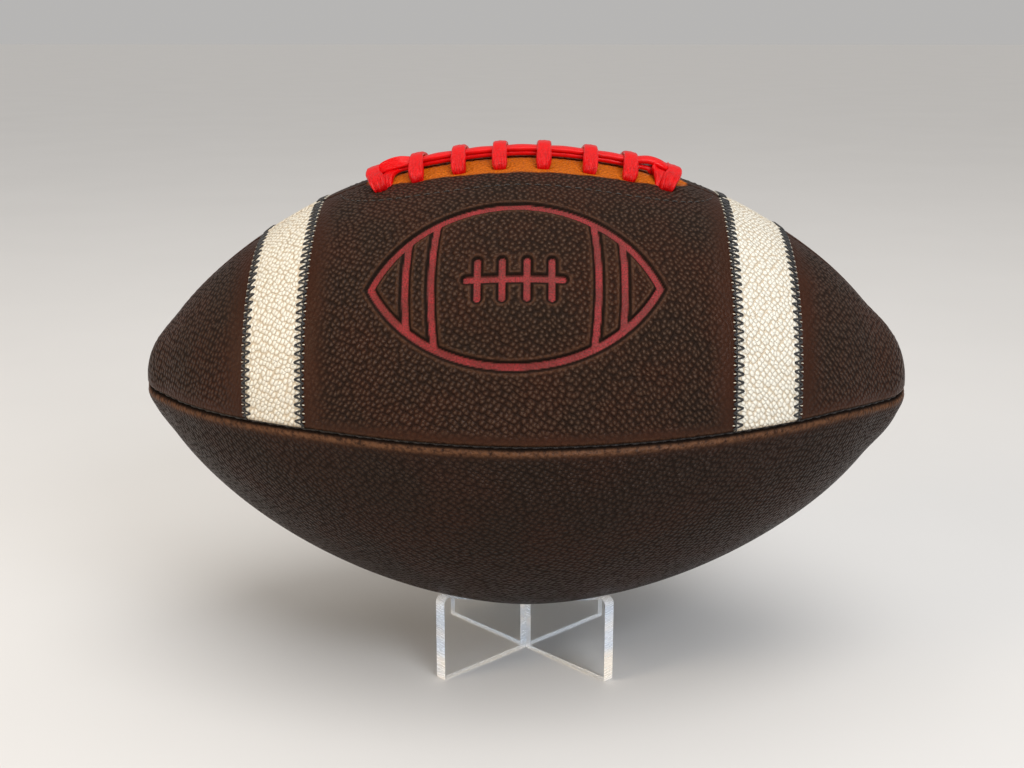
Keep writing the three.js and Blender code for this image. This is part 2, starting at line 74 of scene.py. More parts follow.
def bump(distance):
    return np.maximum(0, 1 - distance**2) ** 2


def profileRadius(x):
    along = np.clip(np.abs(x) / ballForm["halfLength"], 0, 1)
    radius = ballForm["radius"] * (1 - along ** ballForm["bulge"]) ** ballForm["pointing"]
    for side, end in ballEnds.items():
        t = np.clip((ballForm["halfLength"] - side * x) / end["reach"], 0, 1)
        radius = radius + endShape["fullnessScale"] * end["fuller"] * np.sqrt(t) * (1 - t) ** 2
    return radius


def profileNormal(x):
    step = 0.04  # the slope is measured over this much on either side
    x = np.clip(x, step - ballForm["halfLength"], ballForm["halfLength"] - step)
    slope = (profileRadius(x + step) - profileRadius(x - step)) / (2 * step)
    length = np.hypot(slope, 1)
    return -slope / length, 1 / length


def trimmed(x):
    # one end of the ball is a little shorter than the other
    for side, end in ballEnds.items():
        share = smoothStep(endShape["shortenFrom"], ballForm["halfLength"], side * x)
        x = x - side * end["shorter"] * share
    return x


def lowered(x, angle):
    # the side seams run low round the ends
    drop = 0
    for side, end in ballEnds.items():
        drop = drop + end["low"] * smoothStep(end["lowFrom"], endShape["lowestAt"], side * x)
    return angle - np.degrees(drop / np.maximum(profileRadius(x), 5)) * np.cos(np.radians(angle))


def flattening(x, angle):
    offSeam = (angle - seamAngle["lacing"]) / laceBed["halfAngle"]
    return laceBed["flattening"] * bump(x / laceBed["halfLength"]) * bump(offSeam)


def onBall(x, angle, height=0):
    x, angle, height = np.broadcast_arrays(x, angle, np.asarray(height, float))
    along, away = profileNormal(x)
    reach = profileRadius(x) - flattening(x, angle) + away * height
    turn = np.radians(lowered(x, angle))
    rise = ballForm["centreHeight"] + reach * np.sin(turn)
    return np.stack([trimmed(x) + along * height, -reach * np.cos(turn), rise], -1)


def degreesAcross(x, distance):
    return np.degrees(distance / np.maximum(profileRadius(x), 0.5))


def onLacing(x, across, height):
    return onBall(x, seamAngle["lacing"] + degreesAcross(x, across), height)


profileX = ballForm["halfLength"] * np.sin(np.linspace(-np.pi / 2, np.pi / 2, 4001))
profileSteps = np.hypot(np.diff(profileX), np.diff(profileRadius(profileX)))
profileRun = np.concatenate([[0], np.cumsum(profileSteps)])
profileRun = profileRun - profileRun[-1] / 2


def runAlong(x):
    return np.interp(x, profileX, profileRun)


# mesh helpers

def makeObject(name, points, faces, material, masks=None, smooth=True):
    mesh = bpy.data.meshes.new(name)
    mesh.from_pydata((np.asarray(points) * mm).tolist(), [], faces)
    for maskName, values in (masks or {}).items():
        values = np.asarray(values, np.float32)
        kind = "FLOAT_VECTOR" if values.ndim == 2 else "FLOAT"
        attribute = mesh.attributes.new(maskName, kind, "POINT")
        attribute.data.foreach_set("vector" if values.ndim == 2 else "value", values.ravel())
    mesh.materials.append(material)
    mesh.polygons.foreach_set("use_smooth", [smooth] * len(mesh.polygons))
    mesh.update()
    made = bpy.data.objects.new(name, mesh)
    bpy.context.scene.collection.objects.link(made)
    return made


def place(made, body, slotName, *nodes):
    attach(made, body)
    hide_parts(*nodes)
    return made


def stretchRows(stops):
    # stops are (place, spacing) pairs; the rows between two stops keep the first one's spacing
    rows = []
    for (start, spacing), (end, _) in zip(stops, stops[1:]):
        count = max(1, round((end - start) / spacing))
        rows.append(np.linspace(start, end, count, endpoint=False))
    rows.append([stops[-1][0]])
    return np.concatenate(rows)


def rimStrip(dense, coarse, flip):
    # joins a fine edge to a coarse one; coarse holds (vertex, position along the fine edge)
    faces = []
    for (a, i), (b, j) in zip(coarse, coarse[1:]):
        middle = (i + j) // 2
        for k in range(i, j):
            faces.append([dense[k], dense[k + 1], a if k < middle else b])
        faces.append([dense[middle], b, a])
    return [face[::-1] for face in faces] if flip else faces


def shellMesh(outer, inner, coarseStep):
    # outer is a fine grid of points, inner a coarse one under it; a rim closes the edges
    rowCount, columnCount = outer.shape[:2]
    index = np.arange(rowCount * columnCount).reshape(rowCount, columnCount)
    quads = np.stack([index[:-1, :-1], index[1:, :-1], index[1:, 1:], index[:-1, 1:]], -1)
    rows = coarseRows(rowCount, coarseStep)
    columns = coarseRows(columnCount, coarseStep)
    under = inner[np.ix_(rows, columns)]
    below = index.size + np.arange(under.shape[0] * under.shape[1]).reshape(under.shape[:2])
    underQuads = np.stack([below[:-1, :-1], below[:-1, 1:], below[1:, 1:], below[1:, :-1]], -1)
    faces = quads.reshape(-1, 4).tolist() + underQuads.reshape(-1, 4).tolist()
    faces += rimStrip(index[:, 0], list(zip(below[:, 0], rows)), True)
    faces += rimStrip(index[:, -1], list(zip(below[:, -1], rows)), False)
    faces += rimStrip(index[0], list(zip(below[0], columns)), False)
    faces += rimStrip(index[-1], list(zip(below[-1], columns)), True)
    return np.concatenate([outer.reshape(-1, 3), under.reshape(-1, 3)]), faces


def coarseRows(count, step):
    return np.unique(np.round(np.linspace(0, count - 1, max(2, count // step))).astype(int))


def smoothPath(points, spacing):
    # a Catmull-Rom curve through the points, resampled evenly by its first three values
    points = np.asarray(points, float)
    padded = np.vstack([2 * points[0] - points[1], points, 2 * points[-1] - points[-2]])
    dense = []
    for a, b, c, d in zip(padded, padded[1:], padded[2:], padded[3:]):
        t = np.linspace(0, 1, 12, endpoint=False)[:, None]
        curve = 2 * b + (c - a) * t + (2 * a - 5 * b + 4 * c - d) * t**2
        dense.append((curve + (3 * b - a - 3 * c + d) * t**3) / 2)
    dense = np.vstack([*dense, points[-1:]])
    run = np.concatenate([[0], np.cumsum(np.linalg.norm(np.diff(dense[:, :3], axis=0), axis=1))])
    even = np.linspace(0, run[-1], max(2, round(run[-1] / spacing)))
    return np.stack([np.interp(even, run, column) for column in dense.T], -1)


def unit(vectors):
    return vectors / np.maximum(np.linalg.norm(vectors, axis=-1, keepdims=True), 1e-9)


def tubeFaces(count, size):
    # the faces of a row of closed rings, with a cap on the first and the last ring
    index = np.arange(count * size).reshape(count, size)
    ahead = np.roll(index, -1, axis=1)
    quads = np.stack([index[:-1], ahead[:-1], ahead[1:], index[1:]], -1).reshape(-1, 4)
    return quads.tolist() + [index[0].tolist()[::-1], index[-1].tolist()]


def tubeMesh(centres, sideways, upwards, section):
    # sweeps a closed section, given as (side, up) pairs for each centre, and caps both ends
    count, size = len(centres), section.shape[-2]
    section = np.broadcast_to(section, (count, size, 2))
    points = centres[:, None] + section[..., :1] * sideways[:, None]
    points = points + section[..., 1:] * upwards[:, None]
    return points.reshape(-1, 3), tubeFaces(count, size)


def circleSection(radius, sides):
    turn = np.linspace(0, 2 * np.pi, sides, endpoint=False)
    return np.stack([radius * np.cos(turn), radius * np.sin(turn)], -1)


def threadMesh(x, angle, height, radius, sides=6):
    # a round thread over the leather through points given by place and height
    centres = onBall(x, angle, height)
    upwards = unit(onBall(x, angle, np.asarray(height) + 1) - centres)
    heading = unit(np.gradient(centres, axis=0))
    return tubeMesh(centres, unit(np.cross(heading, upwards)), upwards, circleSection(radius, sides))


def padMasks(masks, count):
    # masks cover the outer grid of a shell; its underside reads zero
    padded = {}
    for name, values in masks.items():
        flat = values.reshape(-1, 3) if name == "grainPlace" else values.ravel()
        rest = np.zeros((count - len(flat), *flat.shape[1:]))
        padded[name] = np.concatenate([flat, rest])
    return padded


def joinMeshes(parts):
    points, faces, start = [], [], 0
    for partPoints, partFaces in parts:
        points.append(partPoints)
        faces += [[start + v for v in face] for face in partFaces]
        start += len(partPoints)
    return np.concatenate(points), faces


# shader groups shared by the materials

def newGroup(name, inputs, outputs):
    group = bpy.data.node_groups.new(name, "ShaderNodeTree")
    for socketName, kind, value in inputs:
        socket = group.interface.new_socket(name=socketName, in_out="INPUT", socket_type=kind)
        if value is not None:
            socket.default_value = value
    for socketName, kind in outputs:
        group.interface.new_socket(name=socketName, in_out="OUTPUT", socket_type=kind)
    nodes = group.nodes
    return group, nodes.new("NodeGroupInput"), nodes.new("NodeGroupOutput")


def mathNode(tree, operation, first, second, clamp=False):
    node = tree.nodes.new("ShaderNodeMath")
    node.operation = operation
    node.use_clamp = clamp
    for socket, value in zip(node.inputs, (first, second)):
        if isinstance(value, (int, float)):
            socket.default_value = value
        else:
            tree.links.new(value, socket)
    return node.outputs[0]


def rangeNode(tree, value, fromLow, fromHigh, toLow=0.0, toHigh=1.0, kind="SMOOTHSTEP"):
    node = tree.nodes.new("ShaderNodeMapRange")
    node.interpolation_type = kind
    tree.links.new(value, node.inputs["Value"])
    for name, number in (
        ("From Min", fromLow), ("From Max", fromHigh), ("To Min", toLow), ("To Max", toHigh),
    ):
        node.inputs[name].default_value = number
    return node.outputs["Result"]


def mixColour(tree, factor, first, second, blend="MIX"):
    node = tree.nodes.new("ShaderNodeMix")
    node.data_type = "RGBA"
    node.blend_type = blend
    factorSocket, firstSocket, secondSocket = node.inputs[0], node.inputs[6], node.inputs[7]
    for socket, value in ((factorSocket, factor), (firstSocket, first), (secondSocket, second)):
        if isinstance(value, (int, float)):
            socket.default_value = value
        elif isinstance(value, (tuple, list)):
            socket.default_value = (*value, 1)
        else:
            tree.links.new(value, socket)
    return node.outputs[2]  # the colour result


def noiseNode(tree, vector, scale, detail=4, roughness=0.55):
    node = tree.nodes.new("ShaderNodeTexNoise")
    node.inputs["Scale"].default_value = scale
    node.inputs["Detail"].default_value = detail
    node.inputs["Roughness"].default_value = roughness
    tree.links.new(vector, node.inputs["Vector"])
    return node.outputs["Fac"]


def scaledVector(tree, vector, scale):
    node = tree.nodes.new("ShaderNodeVectorMath")
    node.operation = "MULTIPLY"
    tree.links.new(vector, node.inputs[0])
    node.inputs[1].default_value = scale
    return node.outputs[0]


def makePebbleGroup():
    # pebbled leather: domed cells with valleys between them, over fine pores
    group, start, end = newGroup(
        "pebbleGrain",
        [
            ("Vector", "NodeSocketVector", None),
            ("Cell Size", "NodeSocketFloat", 2.0),
            ("Valley Width", "NodeSocketFloat", 0.3),
            ("Smoothing", "NodeSocketFloat", 0.0),
        ],
        [("Height", "NodeSocketFloat"), ("Valley", "NodeSocketFloat"), ("Top", "NodeSocketFloat")],
    )
    turned = group.nodes.new("ShaderNodeVectorRotate")  # so the rows of pebbles run aslant
    turned.rotation_type = "Z_AXIS"
    turned.inputs["Angle"].default_value = 0.6
    group.links.new(start.outputs["Vector"], turned.inputs["Vector"])
    split = group.nodes.new("ShaderNodeSeparateXYZ")
    group.links.new(turned.outputs[0], split.inputs[0])
    join = group.nodes.new("ShaderNodeCombineXYZ")
    along = mathNode(group, "DIVIDE", split.outputs[0], start.outputs["Cell Size"])
    across = mathNode(group, "DIVIDE", split.outputs[1], start.outputs["Cell Size"])
    wobble = noiseNode(group, start.outputs["Vector"], 0.11, 2)
    across = mathNode(group, "ADD", across, mathNode(group, "MULTIPLY", wobble, 1.5))
    group.links.new(along, join.inputs[0])
    group.links.new(across, join.inputs[1])
    edge = group.nodes.new("ShaderNodeTexVoronoi")
    edge.voronoi_dimensions = "2D"
    edge.feature = "DISTANCE_TO_EDGE"
    dome = group.nodes.new("ShaderNodeTexVoronoi")
    dome.voronoi_dimensions = "2D"
    dome.feature = "F1"
    for voronoi in (edge, dome):
        voronoi.inputs["Scale"].default_value = 1
        voronoi.inputs["Randomness"].default_value = 0.55
        group.links.new(join.outputs[0], voronoi.inputs["Vector"])
    plateau = mathNode(group, "DIVIDE", edge.outputs["Distance"], start.outputs["Valley Width"], True)
    distance = dome.outputs["Distance"]
    rise = mathNode(group, "SUBTRACT", 1.0, mathNode(group, "MULTIPLY", distance, distance), True)
    rise = mathNode(group, "MULTIPLY", rise, rise)
    height = mathNode(group, "MULTIPLY", rise, mathNode(group, "ADD", plateau, 1.2))
    pressed = mathNode(group, "MULTIPLY", start.outputs["Smoothing"], 0.85)
    keep = mathNode(group, "SUBTRACT", 1.0, pressed)
    height = mathNode(group, "MULTIPLY", height, keep)
    # fine pores everywhere, and long wrinkles where the grain is pressed flat
    pores = noiseNode(group, start.outputs["Vector"], 2.4, 3, 0.6)
    height = mathNode(group, "ADD", height, mathNode(group, "MULTIPLY", pores, 0.25))
    drawnOut = scaledVector(group, start.outputs["Vector"], (1.0, 0.26, 1.0))
    wrinkles = noiseNode(group, drawnOut, 1.1, 3)
    wrinkles = mathNode(group, "MULTIPLY", wrinkles, start.outputs["Smoothing"])
    height = mathNode(group, "ADD", height, wrinkles)
    # how far down between the pebbles a place lies, for the painted shade in the valleys
    valley = rangeNode(group, rise, 0.76, 0.44)
    valley = mathNode(group, "MULTIPLY", valley, keep)
    group.links.new(height, end.inputs["Height"])
    group.links.new(valley, end.inputs["Valley"])
    # how near the top of its dome a place is; the dark leather paints a highlight there
    top = mathNode(group, "MULTIPLY", rangeNode(group, rise, 0.80, 0.98), keep)
    group.links.new(top, end.inputs["Top"])
    return group


def makeTwistGroup():
    # the slanting plies of a twisted thread
    group, start, end = newGroup(
        "threadTwist",
        [("Vector", "NodeSocketVector", None), ("Scale", "NodeSocketFloat", 900.0)],
        [("Height", "NodeSocketFloat")],
    )
    wave = group.nodes.new("ShaderNodeTexWave")
    wave.bands_direction = "DIAGONAL"
    wave.inputs["Distortion"].default_value = 0.6
    group.links.new(start.outputs["Vector"], wave.inputs["Vector"])
    group.links.new(start.outputs["Scale"], wave.inputs["Scale"])
    group.links.new(wave.outputs["Fac"], end.inputs["Height"])
    return group


def makeWeaveGroup():
    # plain woven canvas
    group, start, end = newGroup(
        "plainWeave",
        [("Vector", "NodeSocketVector", None), ("Scale", "NodeSocketFloat", 500.0)],
        [("Height", "NodeSocketFloat")],
    )
    heights = []
    for direction in ("X", "Y"):
        wave = group.nodes.new("ShaderNodeTexWave")
        wave.bands_direction = direction
        group.links.new(start.outputs["Vector"], wave.inputs["Vector"])
        group.links.new(start.outputs["Scale"], wave.inputs["Scale"])
        heights.append(wave.outputs["Fac"])
    group.links.new(mathNode(group, "MULTIPLY", *heights), end.inputs["Height"])
    return group


pebbleGroup = makePebbleGroup()
twistGroup = makeTwistGroup()
weaveGroup = makeWeaveGroup()


def startMaterial(name, roughness):
    material = bpy.data.materials.new(name)
    material.use_nodes = True
    tree = material.node_tree
    shader = tree.nodes["Principled BSDF"]
    shader.inputs["Roughness"].default_value = roughness
    return material, tree, shader


def useGroup(tree, group, vector, **values):
    node = tree.nodes.new("ShaderNodeGroup")
    node.node_tree = group
    tree.links.new(vector, node.inputs["Vector"])
    for name, value in values.items():
        socket = node.inputs[name.replace("_", " ")]
        if isinstance(value, (int, float)):
            socket.default_value = value
        else:
            tree.links.new(value, socket)
    return node


def readMask(tree, name, output="Fac"):
    node = tree.nodes.new("ShaderNodeAttribute")
    node.attribute_name = name
    return node.outputs[output]


def addBump(tree, shader, height, distance):
    node = tree.nodes.new("ShaderNodeBump")
    node.inputs["Distance"].default_value = distance
    node.inputs["Strength"].default_value = 1.0
    tree.links.new(height, node.inputs["Height"])
    tree.links.new(node.outputs["Normal"], shader.inputs["Normal"])


def objectVector(tree):
    return tree.nodes.new("ShaderNodeTexCoord").outputs["Object"]


# leather

leatherLook = {
    "dark": (0.022, 0.010, 0.0055),
    "reddish": (0.036, 0.011, 0.005),
    # the colour of the painted highlight on the pebble tops
    "rubbed": (0.085, 0.050, 0.032),
    "worn": (0.10, 0.043, 0.02),
    # the colour of painted shade: in the valleys, the creases and over the lower panels
    "valley": (0.005, 0.0025, 0.0015),
    "tan": (0.56, 0.135, 0.004),
    "tanShade": (0.34, 0.07, 0.002),
    "foil": (0.30, 0.026, 0.03),
    "foilWorn": (0.09, 0.022, 0.018),
    "cellSize": 1.8,
    "grainDepth": 0.00036,
}


def makeDarkLeather():
    look = leatherLook
    material, tree, shader = startMaterial("darkLeather", 0.5)
    shader.inputs["Specular IOR Level"].default_value = 0.11
    shader.inputs["Specular Tint"].default_value = (1.0, 0.9, 0.82, 1)
    place2d = readMask(tree, "grainPlace", "Vector")
    grain = useGroup(
        tree, pebbleGroup, place2d,
        Cell_Size=look["cellSize"], Valley_Width=0.34, Smoothing=readMask(tree, "smoothing"),
    )
    patches = rangeNode(tree, noiseNode(tree, place2d, 0.035, 3), 0.35, 0.7)
    colour = mixColour(tree, patches, look["dark"], look["reddish"])
    # painted highlight: the tops of the pebbles are painted a little lighter, where light catches
    # them
    topHighlight = mathNode(tree, "MULTIPLY", grain.outputs["Top"], 0.5)
    colour = mixColour(tree, topHighlight, colour, look["rubbed"])
    redder = mathNode(tree, "MULTIPLY", readMask(tree, "smoothing"), 0.6)
    colour = mixColour(tree, redder, colour, look["reddish"])
    # painted shade in the valleys between the pebbles
    valley = mathNode(tree, "MULTIPLY", grain.outputs["Valley"], 0.6)
    colour = mixColour(tree, valley, colour, look["valley"])
    # painted shade over the lower panels, darker than the upper ones
    colour = mixColour(tree, readMask(tree, "darker"), colour, look["valley"])
    # painted shade in the seams, on the emblem's channel walls and in the valve's dimple
    crease = readMask(tree, "crease")
    colour = mixColour(tree, mathNode(tree, "MULTIPLY", crease, 0.9), colour, look["valley"])
    # worn leather along the side seams, and a painted highlight along the emblem's rim, both patchy
    edgePatches = rangeNode(tree, noiseNode(tree, place2d, 0.55, 3, 0.7), 0.3, 0.62)
    worn = mathNode(tree, "MULTIPLY", readMask(tree, "wear"), edgePatches)
    colour = mixColour(tree, worn, colour, look["worn"])
    specks = rangeNode(tree, noiseNode(tree, place2d, 1.3, 4, 0.65), 0.38, 0.66)
    tan = mixColour(tree, specks, look["tanShade"], look["tan"])
    colour = mixColour(tree, readMask(tree, "tan"), colour, tan)
    # the foil in the emblem has flaked off in specks, more in some places than in others
    flakes = rangeNode(tree, noiseNode(tree, place2d, 2.2, 4, 0.75), 0.40, 0.56)
    sparser = rangeNode(tree, noiseNode(tree, place2d, 0.1, 2), 0.4, 0.6, 1.0, 0.55)
    flakes = mathNode(tree, "MULTIPLY", flakes, sparser)
    foilColour = mixColour(tree, flakes, look["foilWorn"], look["foil"])
    colour = mixColour(tree, readMask(tree, "foil"), colour, foilColour)
    tree.links.new(colour, shader.inputs["Base Color"])
    shine = rangeNode(tree, noiseNode(tree, place2d, 0.12, 3), 0.3, 0.7, 0.32, 0.42)
    shine = mathNode(tree, "ADD", shine, mathNode(tree, "MULTIPLY", grain.outputs["Valley"], 0.3))
    shine = mathNode(tree, "ADD", shine, mathNode(tree, "MULTIPLY", crease, 0.45), True)
    tree.links.new(shine, shader.inputs["Roughness"])
    addBump(tree, shader, grain.outputs["Height"], look["grainDepth"])
    return material


def makeWhiteLeather():
    material, tree, shader = startMaterial("whiteLeather", 0.42)
    place2d = readMask(tree, "grainPlace", "Vector")
    grain = useGroup(tree, pebbleGroup, place2d, Cell_Size=1.7, Valley_Width=0.2, Smoothing=0.0)
    patches = noiseNode(tree, place2d, 0.09, 3)
    colour = mixColour(tree, patches, (0.74, 0.685, 0.57), (0.82, 0.77, 0.66))
    # painted shade in the valleys between the pebbles
    valley = mathNode(tree, "MULTIPLY", grain.outputs["Valley"], 0.7)
    colour = mixColour(tree, valley, colour, (0.50, 0.38, 0.24))
    # darker towards the seams and the stripe's edges
    edgeDarkening = mathNode(tree, "MULTIPLY", readMask(tree, "wear"), 0.5)
    colour = mixColour(tree, edgeDarkening, colour, (0.42, 0.31, 0.2))
    tree.links.new(colour, shader.inputs["Base Color"])
    tree.links.new(rangeNode(tree, patches, 0.3, 0.7, 0.36, 0.48), shader.inputs["Roughness"])
    addBump(tree, shader, grain.outputs["Height"], 0.00030)
    return material


def makeThread(name, colour, shade):
    material, tree, shader = startMaterial(name, 0.6)
    vector = objectVector(tree)
    twist = useGroup(tree, twistGroup, vector, Scale=700.0)
    tone = mixColour(tree, noiseNode(tree, vector, 900, 2), shade, colour)
    tree.links.new(mixColour(tree, twist.outputs["Height"], shade, tone), shader.inputs["Base Color"])
    shader.inputs["Sheen Weight"].default_value = 0.15
    addBump(tree, shader, twist.outputs["Height"], 0.00006)
    return material


def makeLaceMaterial():
    # coated lace: fine lengthways ribs and small creases where it folds
    material, tree, shader = startMaterial("redLace", 0.3)
    shader.inputs["Specular IOR Level"].default_value = 0.2
    vector = readMask(tree, "strapPlace", "Vector")
    ribs = noiseNode(tree, scaledVector(tree, vector, (0.22, 3.2, 1.0)), 1.0, 4, 0.6)
    creases = noiseNode(tree, scaledVector(tree, vector, (0.9, 1.5, 1.0)), 1.0, 3, 0.5)
    fold = readMask(tree, "fold")
    height = mathNode(tree, "ADD", ribs, mathNode(tree, "MULTIPLY", creases, 0.7))
    gathered = mathNode(tree, "ADD", mathNode(tree, "MULTIPLY", fold, 0.85), 0.15)
    height = mathNode(tree, "MULTIPLY", height, gathered)
    hollows = mathNode(tree, "SUBTRACT", 1.0, rangeNode(tree, ribs, 0.38, 0.58))
    shade = mathNode(tree, "SUBTRACT", 1.0, mathNode(tree, "MULTIPLY", hollows, fold))
    colour = mixColour(tree, shade, (0.42, 0.001, 0.002), (0.66, 0.002, 0.003))
    tree.links.new(colour, shader.inputs["Base Color"])
    tree.links.new(rangeNode(tree, fold, 0, 1, 0.24, 0.3), shader.inputs["Roughness"])
    addBump(tree, shader, height, 0.00035)
    return material


def makeCanvas(name, light, dark):
    material, tree, shader = startMaterial(name, 0.85)
    vector = objectVector(tree)
    weave = useGroup(tree, weaveGroup, vector, Scale=450.0)
    # painted shade: the low parts of the weave take the darker colour
    tree.links.new(mixColour(tree, weave.outputs["Height"], dark, light), shader.inputs["Base Color"])
    shader.inputs["Sheen Weight"].default_value = 0.2
    addBump(tree, shader, weave.outputs["Height"], 0.0002)
    return material


def makeRubber(name, colour, roughness):
    material, tree, shader = startMaterial(name, roughness)
    vector = objectVector(tree)
    cloud = noiseNode(tree, vector, 60, 4)
    paler = tuple(channel * 1.8 for channel in colour)
    tree.links.new(mixColour(tree, cloud, colour, paler), shader.inputs["Base Color"])
    addBump(tree, shader, noiseNode(tree, vector, 900, 3), 0.00008)
    return material


def makePlainLeather():
    material, tree, shader = startMaterial("facingLeather", 0.7)
    vector = objectVector(tree)
    fibres = noiseNode(tree, vector, 350, 5, 0.7)
    colour = mixColour(tree, fibres, (0.16, 0.07, 0.025), (0.30, 0.14, 0.055))
    tree.links.new(colour, shader.inputs["Base Color"])
    addBump(tree, shader, fibres, 0.0003)
    return material


acrylicIor = 1.49


def makeEdgeAcrylic():
    # the cut edges: pale, a little hazy, with faint saw streaks, and a painted glow so that they stay
    # bright
    material, tree, shader = startMaterial("acrylicEdge", 0.22)
    shader.inputs["IOR"].default_value = acrylicIor
    shader.inputs["Transmission Weight"].default_value = 0.45
    vector = objectVector(tree)
    bands = noiseNode(tree, scaledVector(tree, vector, (14.0, 14.0, 50.0)), 1.0, 2)
    cool, warm, grey = (0.66, 0.74, 0.86), (0.95, 0.86, 0.74), (0.45, 0.5, 0.58)
    colour = mixColour(tree, rangeNode(tree, bands, 0.38, 0.62), cool, warm)
    streaks = noiseNode(tree, scaledVector(tree, vector, (300.0, 300.0, 2500.0)), 1.0, 3)
    colour = mixColour(tree, rangeNode(tree, streaks, 0.4, 0.8, 0.0, 0.35), colour, grey)
    tree.links.new(colour, shader.inputs["Base Color"])
    # painted glow: the edge colour is also given off as light
    tree.links.new(colour, shader.inputs["Emission Color"])
    shader.inputs["Emission Strength"].default_value = 0.28
    tree.links.new(rangeNode(tree, streaks, 0.3, 0.7, 0.14, 0.34), shader.inputs["Roughness"])
    addBump(tree, shader, streaks, 0.00012)
    return material


def makeAcrylic():
    # polished clear faces with a few faint smears
    material, tree, shader = startMaterial("clearAcrylic", 0.02)
    shader.inputs["IOR"].default_value = acrylicIor
    shader.inputs["Transmission Weight"].default_value = 1.0
    vector = objectVector(tree)
    smears = noiseNode(tree, vector, 45, 4)
    tree.links.new(rangeNode(tree, smears, 0.5, 0.8, 0.01, 0.05), shader.inputs["Roughness"])
    tint = mixColour(tree, smears, (0.975, 0.985, 0.985), (0.99, 0.995, 0.995))
    tree.links.new(tint, shader.inputs["Base Color"])
    addBump(tree, shader, smears, 0.00001)
    return material


darkLeather = makeDarkLeather()
whiteLeather = makeWhiteLeather()
blackThread = makeThread("blackThread", (0.02, 0.017, 0.016), (0.006, 0.005, 0.005))
darkThread = makeThread("darkThread", (0.022, 0.009, 0.004), (0.008, 0.004, 0.002))
paleThread = makeThread("paleThread", (0.72, 0.66, 0.54), (0.5, 0.44, 0.34))
redLace = makeLaceMaterial()
canvas = makeCanvas("liningCanvas", (0.62, 0.57, 0.46), (0.4, 0.36, 0.28))
facingLeather = makePlainLeather()
bladderRubber = makeRubber("bladderRubber", (0.02, 0.02, 0.021), 0.6)
valveRubber = makeRubber("valveRubber", (0.012, 0.012, 0.012), 0.55)
clearAcrylic = makeAcrylic()
acrylicEdge = makeEdgeAcrylic()
print("materials made")


# the debossed emblem: a plain drawing of a ball with two bands and its lacing

emblem = {
    "middleX": -3,
    "middleAngle": 35.5,
    "halfLength": 47,
    "halfHeight": 29,
    "bandLines": (-33, -24.5, 24.5, 33),
    "laceHalf": 15.5,
    "tickHalf": 6.5,
    "ticks": (-12, -4, 4, 12),
    "lineHalf": 1.05,
    "channelHalf": 2.15,
    "depth": 1.0,
}


def segmentDistance(x, y, ax, ay, bx, by):
    dx, dy = bx - ax, by - ay
    t = np.clip(((x - ax) * dx + (y - ay) * dy) / (dx * dx + dy * dy), 0, 1)
    return np.hypot(x - ax - t * dx, y - ay - t * dy)


def emblemDistance(x, angle):
    e = emblem
    across = np.radians(angle - e["middleAngle"]) * profileRadius(x)
    x = x - e["middleX"]
    arc = (e["halfLength"] ** 2 + e["halfHeight"] ** 2) / (2 * e["halfHeight"])
    drop = arc - e["halfHeight"]
    inside = np.maximum(np.hypot(x, across + drop), np.hypot(x, across - drop)) - arc
    distance = np.abs(inside)
    for line in e["bandLines"]:
        bow = line + np.sign(line) * 2.5 * (1 - (across / e["halfHeight"]) ** 2)
        distance = np.minimum(distance, np.hypot(x - bow, np.maximum(inside, 0)))
    lacing = segmentDistance(x, across, -e["laceHalf"], 0, e["laceHalf"], 0)
    distance = np.minimum(distance, lacing)
    for tick in e["ticks"]:
        mark = segmentDistance(x, across, tick, -e["tickHalf"], tick, e["tickHalf"])
        distance = np.minimum(distance, mark)
    return distance


# leather panels

panelShape = {
    "leather": 2.0,
    "seamGap": 0.22,  # half the gap between two panels
    "rollUpper": 1.9,  # radius of the turned-in edge
    "rollLower": 2.4,
    "beadHeight": 0.55,  # the lower panels stand a little proud along the side seams
    "beadWidth": 4.0,
    "lowerDye": 0.45,  # how much painted shade darkens the lower panels
    "puckerPitch": 3.1,  # the edge ripples a little between the seam's stitches
    "puckerHeight": 0.07,
    "holeDimple": {"length": 3.6, "width": 2.2, "depth": 0.9},  # round each lace hole
}
stripes = {
    "left": (-94.3, -73.2),
    "right": (69.2, 91.7),
    "thickness": 1.1,
    "proud": 0.12,
    "edgeDrop": 0.5,
    "leather": 0.8,
}
quarters = {
    "FrontUpper": {"from": -2, "to": 84, "node": "front_upper"},
    "BackUpper": {"from": 84, "to": 178, "node": "back_upper"},
    "BackLower": {"from": 178, "to": 267, "node": "back_lower"},
    "FrontLower": {"from": -93, "to": -2, "node": "front_lower"},
}
valve = {
    "angle": 128,
    "stem": 2.6,
    "flange": 6,
    "needle": 0.6,
    "top": -0.5,
    "dimple": 3.4,
    "depth": 1.5,
}
tanZone = {"halfLength": 56.5, "halfWidth": 20.0, "roundness": 0.46}


def edgeRoll(distance, radius):
    inside = np.clip(1 - distance / radius, 0, 1)
    return -radius * (1 - np.sqrt(np.maximum(1 - inside**2, 0)))


def stripeDistance(x):
    # below zero inside a stripe
    gaps = [np.maximum(low - x, x - high) for low, high in (stripes["left"], stripes["right"])]
    return np.minimum(*gaps)


def panelRows(name):
    fine = name == "FrontUpper"
    tipRows = ballForm["halfLength"] * np.sin(np.radians(np.linspace(90, 62, 26)))
    step = 0.42 if fine else 1.1
    edge = 0.45 if fine else 1.1
    # finer rows cross the edges of the stripes, and the emblem on the front
    stops = [(tipRows[-1] * -1, 1.1), (-97, edge), (-91, 1.1), (-76, edge), (-70.5, 1.0), (-52, step),
             (48, 1.0), (66.5, edge), (72, 1.1), (89, edge), (94.5, 1.1), (tipRows[-1], 1)]
    if name == "BackUpper":
        stops[6:6] = [(-valve["dimple"] * 1.5, 0.3), (valve["dimple"] * 1.5, step)]
    return np.concatenate([-tipRows[:-1], stretchRows(stops), tipRows[:-1][::-1]])


